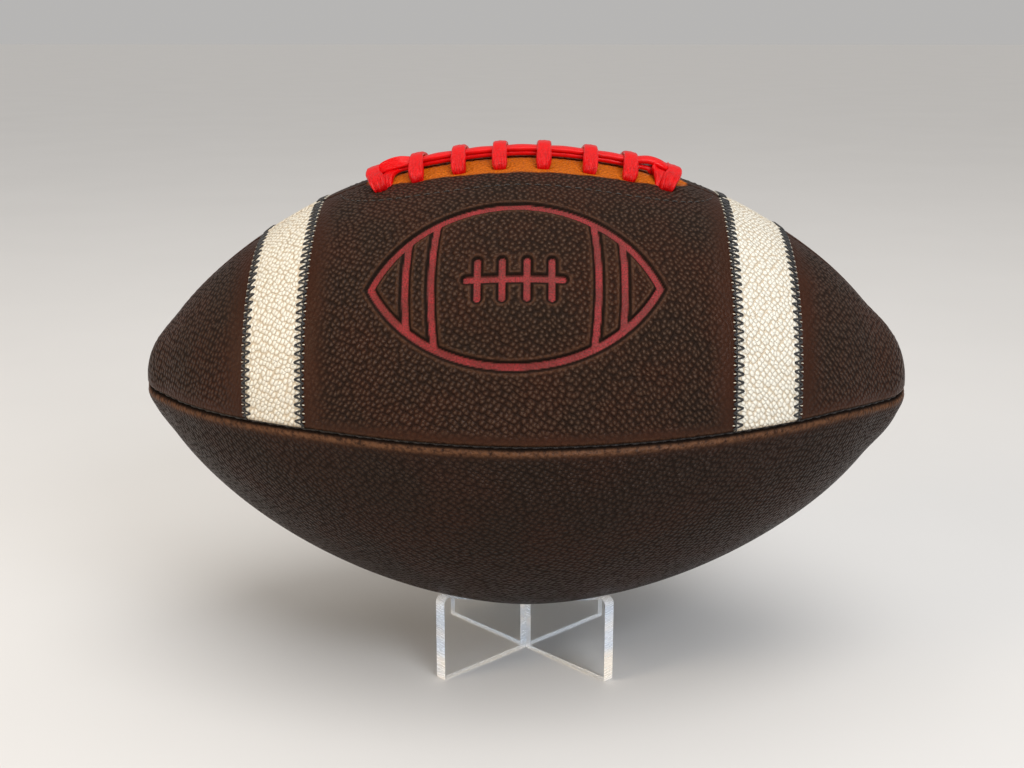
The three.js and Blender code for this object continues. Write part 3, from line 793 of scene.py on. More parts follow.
def panelColumns(name):
    span = quarters[name]["to"] - quarters[name]["from"]
    arc = np.radians(span) * ballForm["radius"]
    step = 0.45 if name == "FrontUpper" else 1.1
    stops = [(0, 0.12), (1.2, 0.25), (3.6, step)]
    if name == "FrontUpper":
        stops += [(95, 0.9)]
    if name == "BackUpper":
        hole = np.radians(valve["angle"] - seamAngle["lacing"]) * ballForm["radius"]
        stops += [(hole - valve["dimple"] * 1.5, 0.3), (hole + valve["dimple"] * 1.5, step)]
    stops += [(arc - 3.6, 0.25), (arc - 1.2, 0.12), (arc, 1)]
    return stretchRows(stops) / arc


def panelField(name):
    # the grid of places over one panel, with the distance to each of its two seams
    quarter = quarters[name]
    span = quarter["to"] - quarter["from"]
    x, share = np.meshgrid(panelRows(name), panelColumns(name), indexing="ij")
    radius = profileRadius(x)
    arc = np.radians(span) * radius
    margin = np.minimum(degreesAcross(x, panelShape["seamGap"]), span * 0.2)
    angle = quarter["from"] + margin + share * (span - 2 * margin)
    return x, angle, share * arc, (1 - share) * arc


def seamSides(name):
    # which seam lies at the panel's first and last column
    return {
        "FrontUpper": ("side", "lacing"), "BackUpper": ("lacing", "side"),
        "BackLower": ("side", "bottom"), "FrontLower": ("bottom", "side"),
    }[name]


def panelHeight(name, x, fromFirst, fromLast):
    upper = "Upper" in name
    roll = panelShape["rollUpper"] if upper else panelShape["rollLower"]
    small = np.clip(profileRadius(x) / 4, 0, 1)
    height = (edgeRoll(fromFirst, roll) + edgeRoll(fromLast, roll)) * small
    for side, distance in zip(seamSides(name), (fromFirst, fromLast)):
        if side == "side" and not upper:
            bead = np.exp(-(((distance - 3) / panelShape["beadWidth"]) ** 2))
            height = height + panelShape["beadHeight"] * bead * small
        ripple = np.sin(runAlong(x) * 2 * np.pi / panelShape["puckerPitch"])
        pucker = ripple * np.exp(-((distance - 1.2) / 1.2) ** 2)
        height = height + panelShape["puckerHeight"] * pucker * small
    return height


def grainPlace(x, across, finer=(1, 1)):
    # where the pebbles are drawn, in millimetres over the leather and well away from zero
    return np.stack([runAlong(x) / finer[0] + 300, across / finer[1] + 300, 0 * x], -1)


def panelMasks(name, x, angle, fromFirst, fromLast):
    middle = (quarters[name]["from"] + quarters[name]["to"]) / 2
    across = np.radians(angle - middle) * profileRadius(x)
    # the lower panels have a finer grain, a little longer than it is wide, and are darkened with
    # painted shade
    lower = "Lower" in name
    finer = (1.08, 0.84) if lower else (1, 1)
    masks = {
        "grainPlace": grainPlace(x, across, finer),
        "darker": np.full_like(x, panelShape["lowerDye"] if lower else 0),
    }
    sideDistance = fromFirst if seamSides(name)[0] == "side" else fromLast
    nearSeam = np.minimum(fromFirst, fromLast)
    smoothing = 0.9 * (1 - smoothStep(1.5, 6, nearSeam))
    # the leather is worn along the side seams
    if lower:
        smoothing = np.maximum(smoothing, 0.15)
        wear = (1 - smoothStep(1.4, 3.3, sideDistance)) * smoothStep(0.3, 1.1, sideDistance)
    else:
        wear = 0.35 * (1 - smoothStep(0.8, 2.2, sideDistance))
    masks["smoothing"] = smoothing
    masks["wear"] = wear
    # painted shade along the seams
    masks["crease"] = 1 - smoothStep(0.3, 1.3, nearSeam)
    masks["tan"] = np.zeros_like(x)
    masks["foil"] = np.zeros_like(x)
    return masks


def laceZone(x, across):
    # 1 inside the undyed zone under the lace, 0 outside, with a slightly ragged edge
    zone = tanZone
    ragged = 0.35 * np.sin(x * 0.31 + 1) * np.sin(x * 0.17)
    share = np.maximum(1 - (x / zone["halfLength"]) ** 2, 0)
    width = zone["halfWidth"] * share ** zone["roundness"]
    return 1 - smoothStep(-0.3, 0.3, np.abs(across) - width - ragged)


def makePanel(name):
    quarter = quarters[name]
    x, angle, fromFirst, fromLast = panelField(name)
    height = panelHeight(name, x, fromFirst, fromLast)
    masks = panelMasks(name, x, angle, fromFirst, fromLast)
    if "Upper" in name:
        beyond = stripeDistance(x)
        height = height - (stripes["thickness"] - 0.1) * (1 - smoothStep(-0.4, 0.1, beyond))
        height = height - stripes["edgeDrop"] * np.exp(-np.maximum(beyond, 0) / 0.9)
        masks["smoothing"] = np.maximum(masks["smoothing"], 1 - smoothStep(2, 11, np.abs(beyond)))
        across = np.radians(angle - seamAngle["lacing"]) * profileRadius(x)
        masks["tan"] = laceZone(x, across)
        masks["smoothing"] = np.maximum(masks["smoothing"], 0.55 * masks["tan"])
        masks["crease"] = masks["crease"] * (1 - masks["tan"])
        dimple = panelShape["holeDimple"]
        for bar in laceBars():
            offHole = np.abs(across) - lace["holeOffset"]
            hole = np.hypot((x - bar["holeX"]) / dimple["length"], offHole / dimple["width"])
            height = height - dimple["depth"] * np.exp(-(hole**2))
        height = height - stitchGroove(x, across)
    if name == "BackUpper":
        fromValve = np.hypot(x, np.radians(angle - valve["angle"]) * profileRadius(x))
        rim = valve["dimple"]
        height = height - valve["depth"] * (1 - smoothStep(rim - 0.7, rim + 0.2, fromValve))
        # painted shade inside the valve's dimple
        masks["crease"] = np.maximum(masks["crease"], 1 - smoothStep(rim - 0.8, rim, fromValve))
        masks["smoothing"] = np.maximum(masks["smoothing"], 1 - smoothStep(rim, rim + 2, fromValve))
    if name == "FrontUpper":
        e = emblem
        distance = emblemDistance(x, angle)
        channel = 1 - smoothStep(e["lineHalf"], e["channelHalf"] - 0.2, distance)
        rim = np.exp(-(((distance - e["channelHalf"] - 0.35) / 0.35) ** 2))
        height = height - e["depth"] * channel + 0.1 * rim
        masks["foil"] = 1 - smoothStep(e["lineHalf"] - 0.15, e["lineHalf"] + 0.1, distance)
        # painted shade on the walls of the channel, between the foil and the rim
        wall = smoothStep(e["lineHalf"] - 0.1, e["lineHalf"] + 0.15, distance)
        wall = wall * (1 - smoothStep(e["channelHalf"] - 0.3, e["channelHalf"] + 0.1, distance))
        # painted highlight along the emblem's raised rim
        masks["wear"] = np.maximum(masks["wear"], 0.5 * rim)
        masks["crease"] = np.maximum(masks["crease"], wall)
        masks["smoothing"] = np.maximum(masks["smoothing"], 1 - smoothStep(1.5, 3.6, distance))
    outer = onBall(x, angle, height)
    inner = onBall(x, angle, np.minimum(height, 0) * 0.3 - panelShape["leather"])
    points, faces = shellMesh(outer, inner, 8)
    masks = padMasks(masks, len(points))
    made = makeObject("leatherPanel" + name, points, faces, darkLeather, masks)
    return place(made, "ball", "dark_leather", "panel_" + quarter["node"])


# stripes and their zigzag stitching

def makeStripe(name, end):
    quarter = quarters[name]
    low, high = stripes[end]
    span = quarter["to"] - quarter["from"]
    rows = stretchRows([(low, 0.12), (low + 1.2, 0.5), (high - 1.2, 0.12), (high, 1)])
    columns = panelColumns("BackLower")
    x, share = np.meshgrid(rows, columns, indexing="ij")
    arc = np.radians(span) * profileRadius(x)
    margin = degreesAcross(x, panelShape["seamGap"])
    angle = quarter["from"] + margin + share * (span - 2 * margin)
    fromEdge = np.minimum(x - low, high - x)
    nearSeam = np.minimum(share * arc, (1 - share) * arc)
    height = stripes["proud"] - stripes["edgeDrop"] * np.exp(-fromEdge / 0.55)
    height = height + edgeRoll(nearSeam, panelShape["rollUpper"])
    outer = onBall(x, angle, height)
    inner = onBall(x, angle, height - stripes["leather"])
    points, faces = shellMesh(outer, inner, 6)
    across = np.radians(angle - (quarter["from"] + quarter["to"]) / 2) * profileRadius(x)
    # darker towards the seams and the stripe's edges
    wear = np.maximum(1 - smoothStep(0.2, 2.2, nearSeam), 0.5 * (1 - smoothStep(0.1, 0.9, fromEdge)))
    masks = padMasks({"grainPlace": grainPlace(x, across), "wear": wear}, len(points))
    made = makeObject(f"stripe{name}{end.title()}", points, faces, whiteLeather, masks)
    node = f"stripe_{quarter['node'].split('_')[0]}_{end}"
    return place(made, "ball", "white_leather", node)


stitching = {
    "pitch": 2.85,
    "onStripe": 2.3,
    "onLeather": 0.9,
    "thread": 0.33,
    "edgeThread": 0.27,
}


def makeZigzag(name, end, edgeIndex):
    s = stitching
    quarter = quarters[name]
    edge = stripes[end][edgeIndex]
    inward = 1 if edgeIndex == 0 else -1
    span = quarter["to"] - quarter["from"]
    margin = float(degreesAcross(edge, 1.4))
    length = math.radians(span - 2 * margin) * float(profileRadius(edge))
    turns = round(length / s["pitch"])
    step = (span - 2 * margin) / turns
    draw = np.random.default_rng(7 + edgeIndex)
    x, angle, height = [], [], []
    for k in range(turns):
        start = quarter["from"] + margin + k * step
        jitter = draw.uniform(-0.12, 0.12, 2)
        # out to the stripe, a short bite along it, back over the edge, a short bite in the leather
        for reach, share, lift in (
            (-s["onLeather"], 0.02, -0.45), (-s["onLeather"] + 0.35, 0.10, 0.0), (0.2, 0.22, 0.05),
            (s["onStripe"] - 0.5, 0.42, 0.16), (s["onStripe"], 0.5, -0.3),
            (s["onStripe"] - 0.5, 0.58, 0.16), (0.2, 0.78, 0.05), (-s["onLeather"] + 0.35, 0.90, 0.0),
        ):
            x.append(edge + inward * (reach + jitter[0] * (reach > 1)))
            angle.append(start + step * (share + jitter[1] * 0.15))
            height.append(lift + 0.1)
    path = smoothPath(np.stack([x, angle, height], -1), 0.32)
    parts = [threadMesh(path[:, 0], path[:, 1], path[:, 2], s["thread"])]
    # a second thread lies in the groove along the edge
    steps = turns * 4
    along = np.linspace(quarter["from"] + margin * 0.4, quarter["to"] - margin * 0.4, steps)
    sway = edge + 0.12 * np.sin(np.arange(steps) * np.pi / 2)
    parts.append(threadMesh(sway, along, np.full(steps, -0.22), s["edgeThread"]))
    blackFaces = sum(len(part[1]) for part in parts)
    # pale loops of the under thread show beside each bite
    for k in range(turns):
        at = quarter["from"] + margin + (k + 0.5) * step
        reach = np.linspace(-1.25, -0.35, 5)
        lift = -0.28 + 0.3 * np.sin(np.linspace(0, np.pi, 5))
        parts.append(threadMesh(edge + inward * reach, np.full(5, at), lift, 0.2, 5))
    points, faces = joinMeshes(parts)
    side = quarter["node"].split("_")[0]
    letter = "ab"[edgeIndex]
    made = makeObject(f"zigzag{name}{end.title()}{letter.upper()}", points, faces, blackThread)
    made.data.materials.append(paleThread)
    slots = np.zeros(len(faces), int)
    slots[blackFaces:] = 1
    made.data.polygons.foreach_set("material_index", slots)
    return place(made, "ball", "black_thread", f"zigzag_{side}_{end}_{letter}")


# the oval of stitches that holds the facing under the lace

facingOval = {
    "halfLength": 66.0,
    "halfWidth": 30.0,
    "exponent": 3.2,
    "innerOffset": 2.2,
    "stitch": 2.5,
    "space": 0.9,
    "thread": 0.22,
    "grooveDepth": 0.3,
    "grooveWidth": 0.7,
}


def ovalWidth(x):
    f = facingOval
    return f["halfWidth"] * np.sqrt(np.maximum(1 - np.abs(x / f["halfLength"]) ** f["exponent"], 0))


def ovalPath(side):
    # once along the outside, round each end and back beside the lacing seam
    f = facingOval
    turn = np.linspace(-np.pi / 2, np.pi / 2, 240)
    x = f["halfLength"] * np.sin(turn)
    outer = np.stack([x, side * np.maximum(ovalWidth(x), f["innerOffset"])], -1)
    ends = []
    for end in (1, -1):
        ends.append(np.stack([
            np.linspace(end * f["halfLength"], end * 55.5, 30),
            side * np.linspace(f["innerOffset"], 1.9, 30),
        ], -1))
    path = np.concatenate([ends[1][::-1], outer, ends[0]])
    run = np.concatenate([[0], np.cumsum(np.linalg.norm(np.diff(path, axis=0), axis=1))])
    even = np.linspace(0, run[-1], round(run[-1] / 0.35))
    return even, np.interp(even, run, path[:, 0]), np.interp(even, run, path[:, 1])


def stitchGroove(x, across):
    f = facingOval
    slope = 1 + 2.2 * smoothStep(0.8, 1.0, np.abs(x) / f["halfLength"])
    offLine = np.abs(np.abs(across) - ovalWidth(x)) / slope
    inReach = 1 - smoothStep(f["halfLength"] - 2, f["halfLength"] + 1, np.abs(x))
    return f["grooveDepth"] * np.exp(-((offLine / f["grooveWidth"]) ** 2)) * inReach


def makeFacingStitches(side, sideName):
    f = facingOval
    even, x, across = ovalPath(side)
    cycle = f["stitch"] + f["space"]
    parts = []
    for k in range(int(even[-1] / cycle)):
        chosen = (even >= k * cycle) & (even <= k * cycle + f["stitch"])
        share = (even[chosen] - k * cycle) / f["stitch"]
        lift = -0.6 + 0.55 * np.sin(share * np.pi) ** 0.5
        angle = seamAngle["lacing"] + degreesAcross(x[chosen], across[chosen])
        parts.append(threadMesh(x[chosen], angle, lift, f["thread"]))
    points, faces = joinMeshes(parts)
    made = makeObject("facingStitches" + sideName.title(), points, faces, darkThread)
    return place(made, "ball", "seam_thread", "facing_thread_" + sideName)


# the lace

lace = {
    "width": 5.0,
    "thickness": 1.85,
    "barCount": 8,
    "barPitch": 14.6,
    "middle": -1.0,
    "unevenness": (0, 0, 0.9, -0.3, -0.7, -0.1, 0, 0),
    "holeOffset": 14.0,
    "endLean": 2.2,  # the end bars bow outwards over the runs
    "lowerRun": 1.5,
    "upperRun": 3.05,
    "barTop": 4.75,
    "inside": -5.0,
}


def laceBars():
    bars = []
    for k in range(lace["barCount"]):
        x = lace["middle"] + ((lace["barCount"] - 1) / 2 - k) * lace["barPitch"]
        x += lace["unevenness"][k]
        end = 1 if k == 0 else -1 if k == lace["barCount"] - 1 else 0
        lean = lace["endLean"] * end
        hole = lace["holeOffset"] - 0.9 * abs(end)
        x -= 0.7 * end
        bars.append({"topX": x + lean * 0.6, "holeX": x - lean * 0.5, "hole": hole, "end": end})
    return bars


def tilted(degrees):
    # the width of a run that turns its face to the front
    turn = math.radians(degrees)
    return (0, math.cos(turn), math.sin(turn))


def laceControls():
    # along, across, height, direction of the width, width, thickness, fold
    controls = []
    width, thick = lace["width"], lace["thickness"]

    def add(x, across, height, wide, w=1.0, t=1.0, fold=0.0):
        controls.append([x, across, height, *wide, w * width, t * thick, fold])

    level, along = tilted(0), (-1, 0, 0)
    lower, upper, inside = lace["lowerRun"], lace["upperRun"], lace["inside"]
    bars = laceBars()
    right, left = bars[0]["topX"], bars[-1]["topX"]
    hole = lace["holeOffset"]

    # the lower run comes up beside the right end bar, and goes down beside the left one
    add(right - 4.6, -hole + 1, -3.4, along, 0.6, 1.2)
    add(right - 4.5, -hole + 2.2, -0.3, along, 0.7, 1.2, 0.6)
    add(right - 4.6, -9.0, 1.5, (-0.95, 0.3, 0), 0.85, 1.1, 0.8)
    add(right - 5.2, -4.6, 2.3, (-0.8, 0.6, 0.1), 0.9, 1.0, 0.5)
    add(right - 6.8, -1.2, 2.1, (-0.35, 0.93, 0.1), 0.95, 1.0, 0.3)
    add(right - 9.2, -0.1, lower + 0.25, level)
    for k, bar in enumerate(bars[1:-1]):
        add(bar["topX"], 0, lower, level, 1.0, 0.96)
        if k < len(bars) - 3:
            add(bar["topX"] - lace["barPitch"] / 2, 0, lower + 0.06, level)
    add(left + 9.0, 0.2, lower - 0.1, level, 1.0, 0.9)
    add(left + 6.4, -1.4, lower - 0.1, (-0.4, 0.9, 0), 0.95, 0.9)
    add(left + 5.2, -5.0, 1.5, (-0.85, 0.5, 0), 0.9, 1.0, 0.4)
    add(left + 4.9, -8.8, 1.4, along, 0.85, 1.1, 0.8)
    add(left + 4.7, -hole + 2.4, -0.2, along, 0.7, 1.2, 0.6)
    add(left + 4.4, -hole + 1.6, -3.6, along, 0.6, 1.2)
    add(left + 2.0, -6.0, inside, (-0.8, 0.6, 0))

    # the upper run rises under the left end bar and dives under the right one
    add(left - 0.2, -0.6, -3.6, level)
    add(left - 0.6, -0.4, -0.8, level)
    add(left + 0.2, -0.4, 1.6, tilted(15))
    add(left + 2.4, -0.5, 3.2, tilted(34), 0.94)
    add(left + 5.2, -0.7, 3.85, tilted(52), 0.93, 1.0, 0.3)
    add(left + 9.0, -0.7, 3.95, tilted(50), 0.93, 1.0, 0.3)
    add(left + 12.4, -0.3, 3.4, tilted(28), 0.96)
    for bar in bars[1:-1][::-1]:
        add(bar["topX"], 0, upper, level)
        if bar is not bars[1]:
            add(bar["topX"] + lace["barPitch"] / 2, 0, upper + 0.12, tilted(4))
    add(right - 12.6, -0.1, upper + 0.55, tilted(6), 1.0, 1.08)
    add(right - 9.0, -0.2, upper + 1.4, tilted(9), 1.0, 1.15)
    add(right - 5.4, -0.3, upper + 1.15, tilted(10), 1.0, 1.15)
    add(right - 2.4, -0.3, upper + 0.1, tilted(8), 1.0, 1.08)
    add(right + 0.3, -0.2, 1.7, level)
    add(right + 1.1, -0.2, -0.9, level)
    add(right + 1.2, -0.2, -3.6, level)
    add(right, -4.0, inside, (-0.6, 0.8, 0))
    add((right + bars[0]["holeX"]) / 2, -hole * 0.66, inside, (-0.9, 0.43, 0))

    # cross bars: out of a front hole, over both runs, down a back hole, on under the leather
    edge = width / 2
    for k, bar in enumerate(bars):
        holeX, topX = bar["holeX"], bar["topX"]
        bow = topX - holeX
        drop = 0.8 * abs(bar["end"])
        fat = 0.93 + 0.05 * abs(bar["end"])
        hole = bar["hole"]
        top = lace["barTop"] - drop
        for side in (-1, 1):
            wide = (-1, side * bow / hole * 0.9, 0)
            # offset, height, share of the bow, width, thickness, fold
            half = [
                (hole - 0.2, -3.6, 0.0, 0.72, 1.0, 0.4),
                (hole + 0.1, -1.3, 0.0, 0.84, 1.25, 0.8),
                (hole + 0.0, 0.3, 0.05, 1.02, 1.5, 1.0),
                (hole - 1.2, 1.5, 0.16, 1.12, 1.5, 1.0),
                (hole - 3.4, 2.5, 0.4, 1.12, 1.25, 0.9),
                (hole - 6.6, 3.5 - 0.6 * drop, 0.78, 1.08, 1.0, 0.6),
                (edge + 1.7, top - 0.45, 1.0, 1.02, 0.93, 0.25),
                (edge - 0.8, top, 1.04, 0.98, 0.9, 0.15),
            ]
            if side > 0:
                half = half[::-1]
            for offset, height, share, w, t, fold in half:
                add(holeX + bow * share, side * offset, height, wide, w * fat, t, fold)
        if k + 1 < len(bars):
            following = bars[k + 1]["holeX"]
            add(holeX - 0.4, hole - 1.4, inside, along)
            add((holeX + following) / 2, 0, inside, along)
            add(following + 0.4, -hole + 1.4, inside, along)
        else:
            add(holeX, hole - 1.4, inside, along)
            add(holeX, hole - 6, inside, along)
    return controls


def makeLace():
    path = smoothPath(laceControls(), 0.5)
    sides = 32
    turn = np.linspace(0, 2 * np.pi, sides, endpoint=False)
    # a strap with well rounded edges and shallow lengthways ribs where it is gathered
    side = np.sign(np.cos(turn)) * np.abs(np.cos(turn)) ** 0.62
    face = np.sign(np.sin(turn)) * np.abs(np.sin(turn)) ** 0.66
    place3, wide, width, thick = path[:, :3], path[:, 3:6], path[:, 6], path[:, 7]
    fold = np.clip(path[:, 8], 0, 1)
    heading = unit(np.gradient(place3, axis=0))
    wide = unit(wide - heading * np.sum(wide * heading, axis=1, keepdims=True))
    up = unit(np.cross(heading, wide))
    run = np.concatenate([[0], np.cumsum(np.linalg.norm(np.diff(place3, axis=0), axis=1))])
    wander = 0.5 * np.sin(run * 0.31)[:, None] + 0.3 * np.sin(run * 0.83 + 2)[:, None]
    ribs = 0.36 * np.cos(side * 7.6 + wander * 2) + 0.12 * np.sin(run[:, None] * 1.9 + side * 5)
    ribs = 1 + fold[:, None] * ribs * np.abs(face)
    swell = 1 + 0.02 * np.sin(run * 0.9)[:, None]
    local = (
        place3[:, None]
        + wide[:, None] * (side * width[:, None] / 2 * swell)[..., None]
        + up[:, None] * (face * thick[:, None] / 2 * ribs)[..., None]
    )
    points = onLacing(local[..., 0], local[..., 1], local[..., 2]).reshape(-1, 3)
    faces = tubeFaces(len(path), sides)
    strapPlace = np.stack([
        np.repeat(run, sides), (side * width[:, None] / 2).ravel(), np.tile(np.sign(face), len(path)),
    ], -1)
    masks = {"strapPlace": strapPlace, "fold": np.repeat(fold, sides)}
    made = makeObject("lace", points, faces, redLace, masks)
    return place(made, "ball", "red_lace", "lace")


# inside the ball

insideDepths = {"lining": (2.3, 3.6), "tongue": (6.2, 7.4), "bladder": (3.9, 4.9)}


def makeLining(name):
    quarter = quarters[name]
    span = quarter["to"] - quarter["from"]
    x, share = np.meshgrid(np.linspace(-137, 137, 90), np.linspace(0, 1, 40), indexing="ij")
    margin = degreesAcross(x, 1.0)
    angle = quarter["from"] + margin + share * (span - 2 * margin)
    if "Upper" in name:
        # cut back round the facing
        clear = ovalWidth(x * 0.93) + 2.2
        clear = degreesAcross(x, np.where(np.abs(x) < 71.5, clear, 1.0))
        if quarter["to"] == seamAngle["lacing"]:
            angle = quarter["from"] + margin + share * (span - margin - clear)
        else:
            angle = quarter["from"] + clear + share * (span - margin - clear)
    top, bottom = insideDepths["lining"]
    points, faces = shellMesh(onBall(x, angle, -top), onBall(x, angle, -bottom), 2)
    made = makeObject("lining" + name, points, faces, canvas)
    return place(made, "ball", "lining_canvas", "lining_" + quarter["node"])


def makeFacing(side, sideName):
    rows = 70 * np.sin(np.linspace(-np.pi / 2, np.pi / 2, 70))
    x, share = np.meshgrid(rows, np.linspace(0, 1, 16), indexing="ij")
    reach = np.maximum(ovalWidth(x * 0.945) + 1.4, 1.2)
    across = side * (0.4 + share * (reach - 0.4))
    if side < 0:
        across = across[:, ::-1]
    top, bottom = insideDepths["lining"]
    points, faces = shellMesh(onLacing(x, across, -top), onLacing(x, across, -bottom), 2)
    made = makeObject("laceFacing" + sideName.title(), points, faces, facingLeather)
    return place(made, "ball", "facing_leather", "lace_facing_" + sideName)


def makeTongue():
    x, across = np.meshgrid(np.linspace(-66, 66, 70), np.linspace(-19, 19, 24), indexing="ij")
    top, bottom = insideDepths["tongue"]
    points, faces = shellMesh(onLacing(x, across, -top), onLacing(x, across, -bottom), 2)
    made = makeObject("laceTongue", points, faces, canvas)
    return place(made, "ball", "lining_canvas", "lace_tongue")


bladderShape = {
    "halfLength": 140.4,
    "dent": 3.9,  # how far it sinks in under the tongue
    "dentLength": 84,
    "dentAngle": 17,
    "rib": 0.25,
}


def makeBladder():
    # a thin rubber skin with four moulded ribs, which sinks in under the tongue
    b = bladderShape
    rows = b["halfLength"] * np.sin(np.radians(np.linspace(-90, 90, 121)))
    x, angle = np.meshgrid(rows, np.linspace(0, 360, 97)[:-1], indexing="ij")
    offSeam = (angle - seamAngle["lacing"]) / b["dentAngle"]
    dent = smoothStep(0.0, 0.35, bump(x / b["dentLength"])) * smoothStep(0.0, 0.35, bump(offSeam))
    dent = b["dent"] * dent
    ribs = b["rib"] * np.exp(-((((angle + 45) % 90 - 45) / 1.6) ** 2))
    slack = 0.12 * np.sin(x * 0.21 + angle * 0.06) * np.sin(angle * 0.21)
    parts = []
    for depth, flip in zip(insideDepths["bladder"], (False, True)):
        points = onBall(x, angle, -(depth + dent + slack) + (0 if flip else ribs - b["rib"]))
        count, size = x.shape
        index = np.arange(count * size).reshape(count, size)
        ahead = np.roll(index, -1, axis=1)
        quads = np.stack([index[:-1], index[1:], ahead[1:], ahead[:-1]], -1).reshape(-1, 4)
        faces = quads.tolist() + [index[0].tolist(), index[-1].tolist()[::-1]]
        parts.append((points.reshape(-1, 3), [face[::-1] for face in faces] if flip else faces))
    made = makeObject("bladder", *joinMeshes(parts), bladderRubber)
    return place(made, "ball", "bladder_rubber", "bladder")


def makeValve():
    # a turned rubber plug: a flange inside the bladder, a stem, and a dished top with its needle hole
    stem, flange, hole, top = valve["stem"], valve["flange"], valve["needle"], valve["top"]
    outline = [
        (0, -9.8), (flange - 0.8, -9.9), (flange - 0.2, -9.6), (flange, -9.0), (flange - 0.3, -8.5),
        (stem + 0.9, -8.0), (stem + 0.2, -7.4), (stem, -6.5), (stem, top - 0.5),
        (stem - 0.15, top - 0.15), (stem - 0.5, top), (stem - 0.9, top - 0.1), (hole + 0.7, top - 0.45), (hole + 0.15, top - 0.55),
        (hole, top - 0.8), (hole * 0.9, -6.5), (0, -6.8),
    ]
    sides = 40
    turn = np.linspace(0, 2 * np.pi, sides, endpoint=False)
    tilt = math.radians(valve["angle"])
    out = np.array([0, -math.cos(tilt), math.sin(tilt)])
    sideways = np.array([0, math.sin(tilt), math.cos(tilt)])
    seat = onBall(0.0, valve["angle"])
    points, faces = [seat + out * outline[0][1]], []
    for radius, height in outline[1:-1]:
        ring = radius * (np.cos(turn)[:, None] * [1, 0, 0] + np.sin(turn)[:, None] * sideways)
        points.extend(seat + out * height + ring)
    points.append(seat + out * outline[-1][1])
    rings = len(outline) - 2
    for k in range(sides):
        following = (k + 1) % sides
        faces.append([0, 1 + following, 1 + k])
        for ring in range(rings - 1):
            low, high = 1 + ring * sides, 1 + (ring + 1) * sides
            faces.append([low + k, low + following, high + following, high + k])
        last = 1 + (rings - 1) * sides
        faces.append([last + k, last + following, len(points) - 1])
    made = makeObject("valve", points, faces, valveRubber)
    return place(made, "ball", "valve_rubber", "valve")


seamStitch = {
    "depth": 1.75,
    "wave": 0.22,
    "sway": 0.12,
    "pitch": 3.2,
    "thread": 0.42,
    "reach": 137,  # how far along the ball the threads run
    "laceEnd": 72,  # where the lacing opening ends
}


def makeSeamThread(node, angle, low, high):
    # a running line of lockstitches down in the seam
    s = seamStitch
    x = np.linspace(low, high, max(8, round((high - low) / 0.5)))
    depth = -s["depth"] + s["wave"] * np.sin(x * 2 * np.pi / s["pitch"])
    sway = angle + degreesAcross(x, s["sway"] * np.sin(x * np.pi / s["pitch"]))
    points, faces = threadMesh(x, sway, depth, s["thread"])
    words = node.replace("seam_thread_", "").split("_")
    made = makeObject("seamThread" + "".join(w.title() for w in words), points, faces, darkThread)
    return place(made, "ball", "seam_thread", node)


# the stand

standSizes = {"thickness": 4.7, "corner": 2.5, "bevel": 0.35, "gap": 0.3, "slotFloor": 12.0}


def cradleHeight(along):
    heights = []
    for off in (-standSizes["thickness"] / 2, 0, standSizes["thickness"] / 2):
        x, y = (along - off) * math.sqrt(0.5), (along + off) * math.sqrt(0.5)
        under = ballForm["centreHeight"] - np.sqrt(profileRadius(np.asarray(x)) ** 2 - y**2)
        heights.append(under)
    return np.min(heights, axis=0) - standSizes["gap"] * 1.12


def plateOutline(halfLength, slotOpensUp):
    s = standSizes
    slotHalf = s["thickness"] / 2 + s["gap"]
    shoulder = float(cradleHeight(np.array(halfLength - s["corner"])))
    turn = np.linspace(0, np.pi / 2, 9)
    corner = np.stack([
        halfLength - s["corner"] + s["corner"] * np.cos(turn),
        shoulder - s["corner"] + s["corner"] * np.sin(turn),
    ], -1)
    along = np.linspace(halfLength - s["corner"], slotHalf, 26)[1:]
    cradle = np.stack([along, cradleHeight(along)], -1)
    right = np.concatenate([[[halfLength, 0]], corner, cradle])
    left = right[::-1] * [-1, 1]
    floor = s["slotFloor"] + (-s["gap"] / 2 if slotOpensUp else s["gap"] / 2)
    if slotOpensUp:
        return np.concatenate([right, [[slotHalf, floor], [-slotHalf, floor]], left])
    slot = [[-slotHalf, 0], [-slotHalf, floor], [slotHalf, floor], [slotHalf, 0]]
    return np.concatenate([right, [[0, float(cradleHeight(np.array(0.0)))]], left, slot])


def makePlate(name, node, body, turn, slotOpensUp):
    low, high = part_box(node)
    reach = (high.x - low.x) / 2 / mm
    halfLength = reach * math.sqrt(2) - standSizes["thickness"] / 2
    outline = plateOutline(halfLength, slotOpensUp)
    count = len(outline)
    half = standSizes["thickness"] / 2
    a = math.radians(turn)
    points = []
    for side in (-half, half):
        for along, height in outline:
            x = along * math.cos(a) - side * math.sin(a)
            y = along * math.sin(a) + side * math.cos(a)
            points.append([x, y, height])
    faces = [list(range(count)), list(range(count, 2 * count))[::-1]]
    faces += [[k, count + k, count + (k + 1) % count, (k + 1) % count] for k in range(count)]
    made = makeObject(name, points, faces, clearAcrylic, smooth=False)
    bevel = made.modifiers.new("polishedEdges", "BEVEL")
    bevel.width = standSizes["bevel"] * mm
    bevel.segments = 3
    bevel.limit_method = "ANGLE"
    bevel.angle_limit = math.radians(50)
    bevel.harden_normals = True
    applyModifiers(made)
    paintCutEdges(made, a)
    return place(made, body, "clear_acrylic", node)


def applyModifiers(made):
    depsgraph = bpy.context.evaluated_depsgraph_get()
    mesh = bpy.data.meshes.new_from_object(made.evaluated_get(depsgraph))
    made.modifiers.clear()
    made.data = mesh


def paintCutEdges(made, turn):
    # the sawn rim gets the edge finish; the two big faces stay clear
    mesh = made.data
    mesh.materials.append(acrylicEdge)
    across = np.array([-math.sin(turn), math.cos(turn), 0])
    for face in mesh.polygons:
        face.material_index = 1 if abs(np.dot(np.array(face.normal), across)) < 0.9 else 0


# build everything

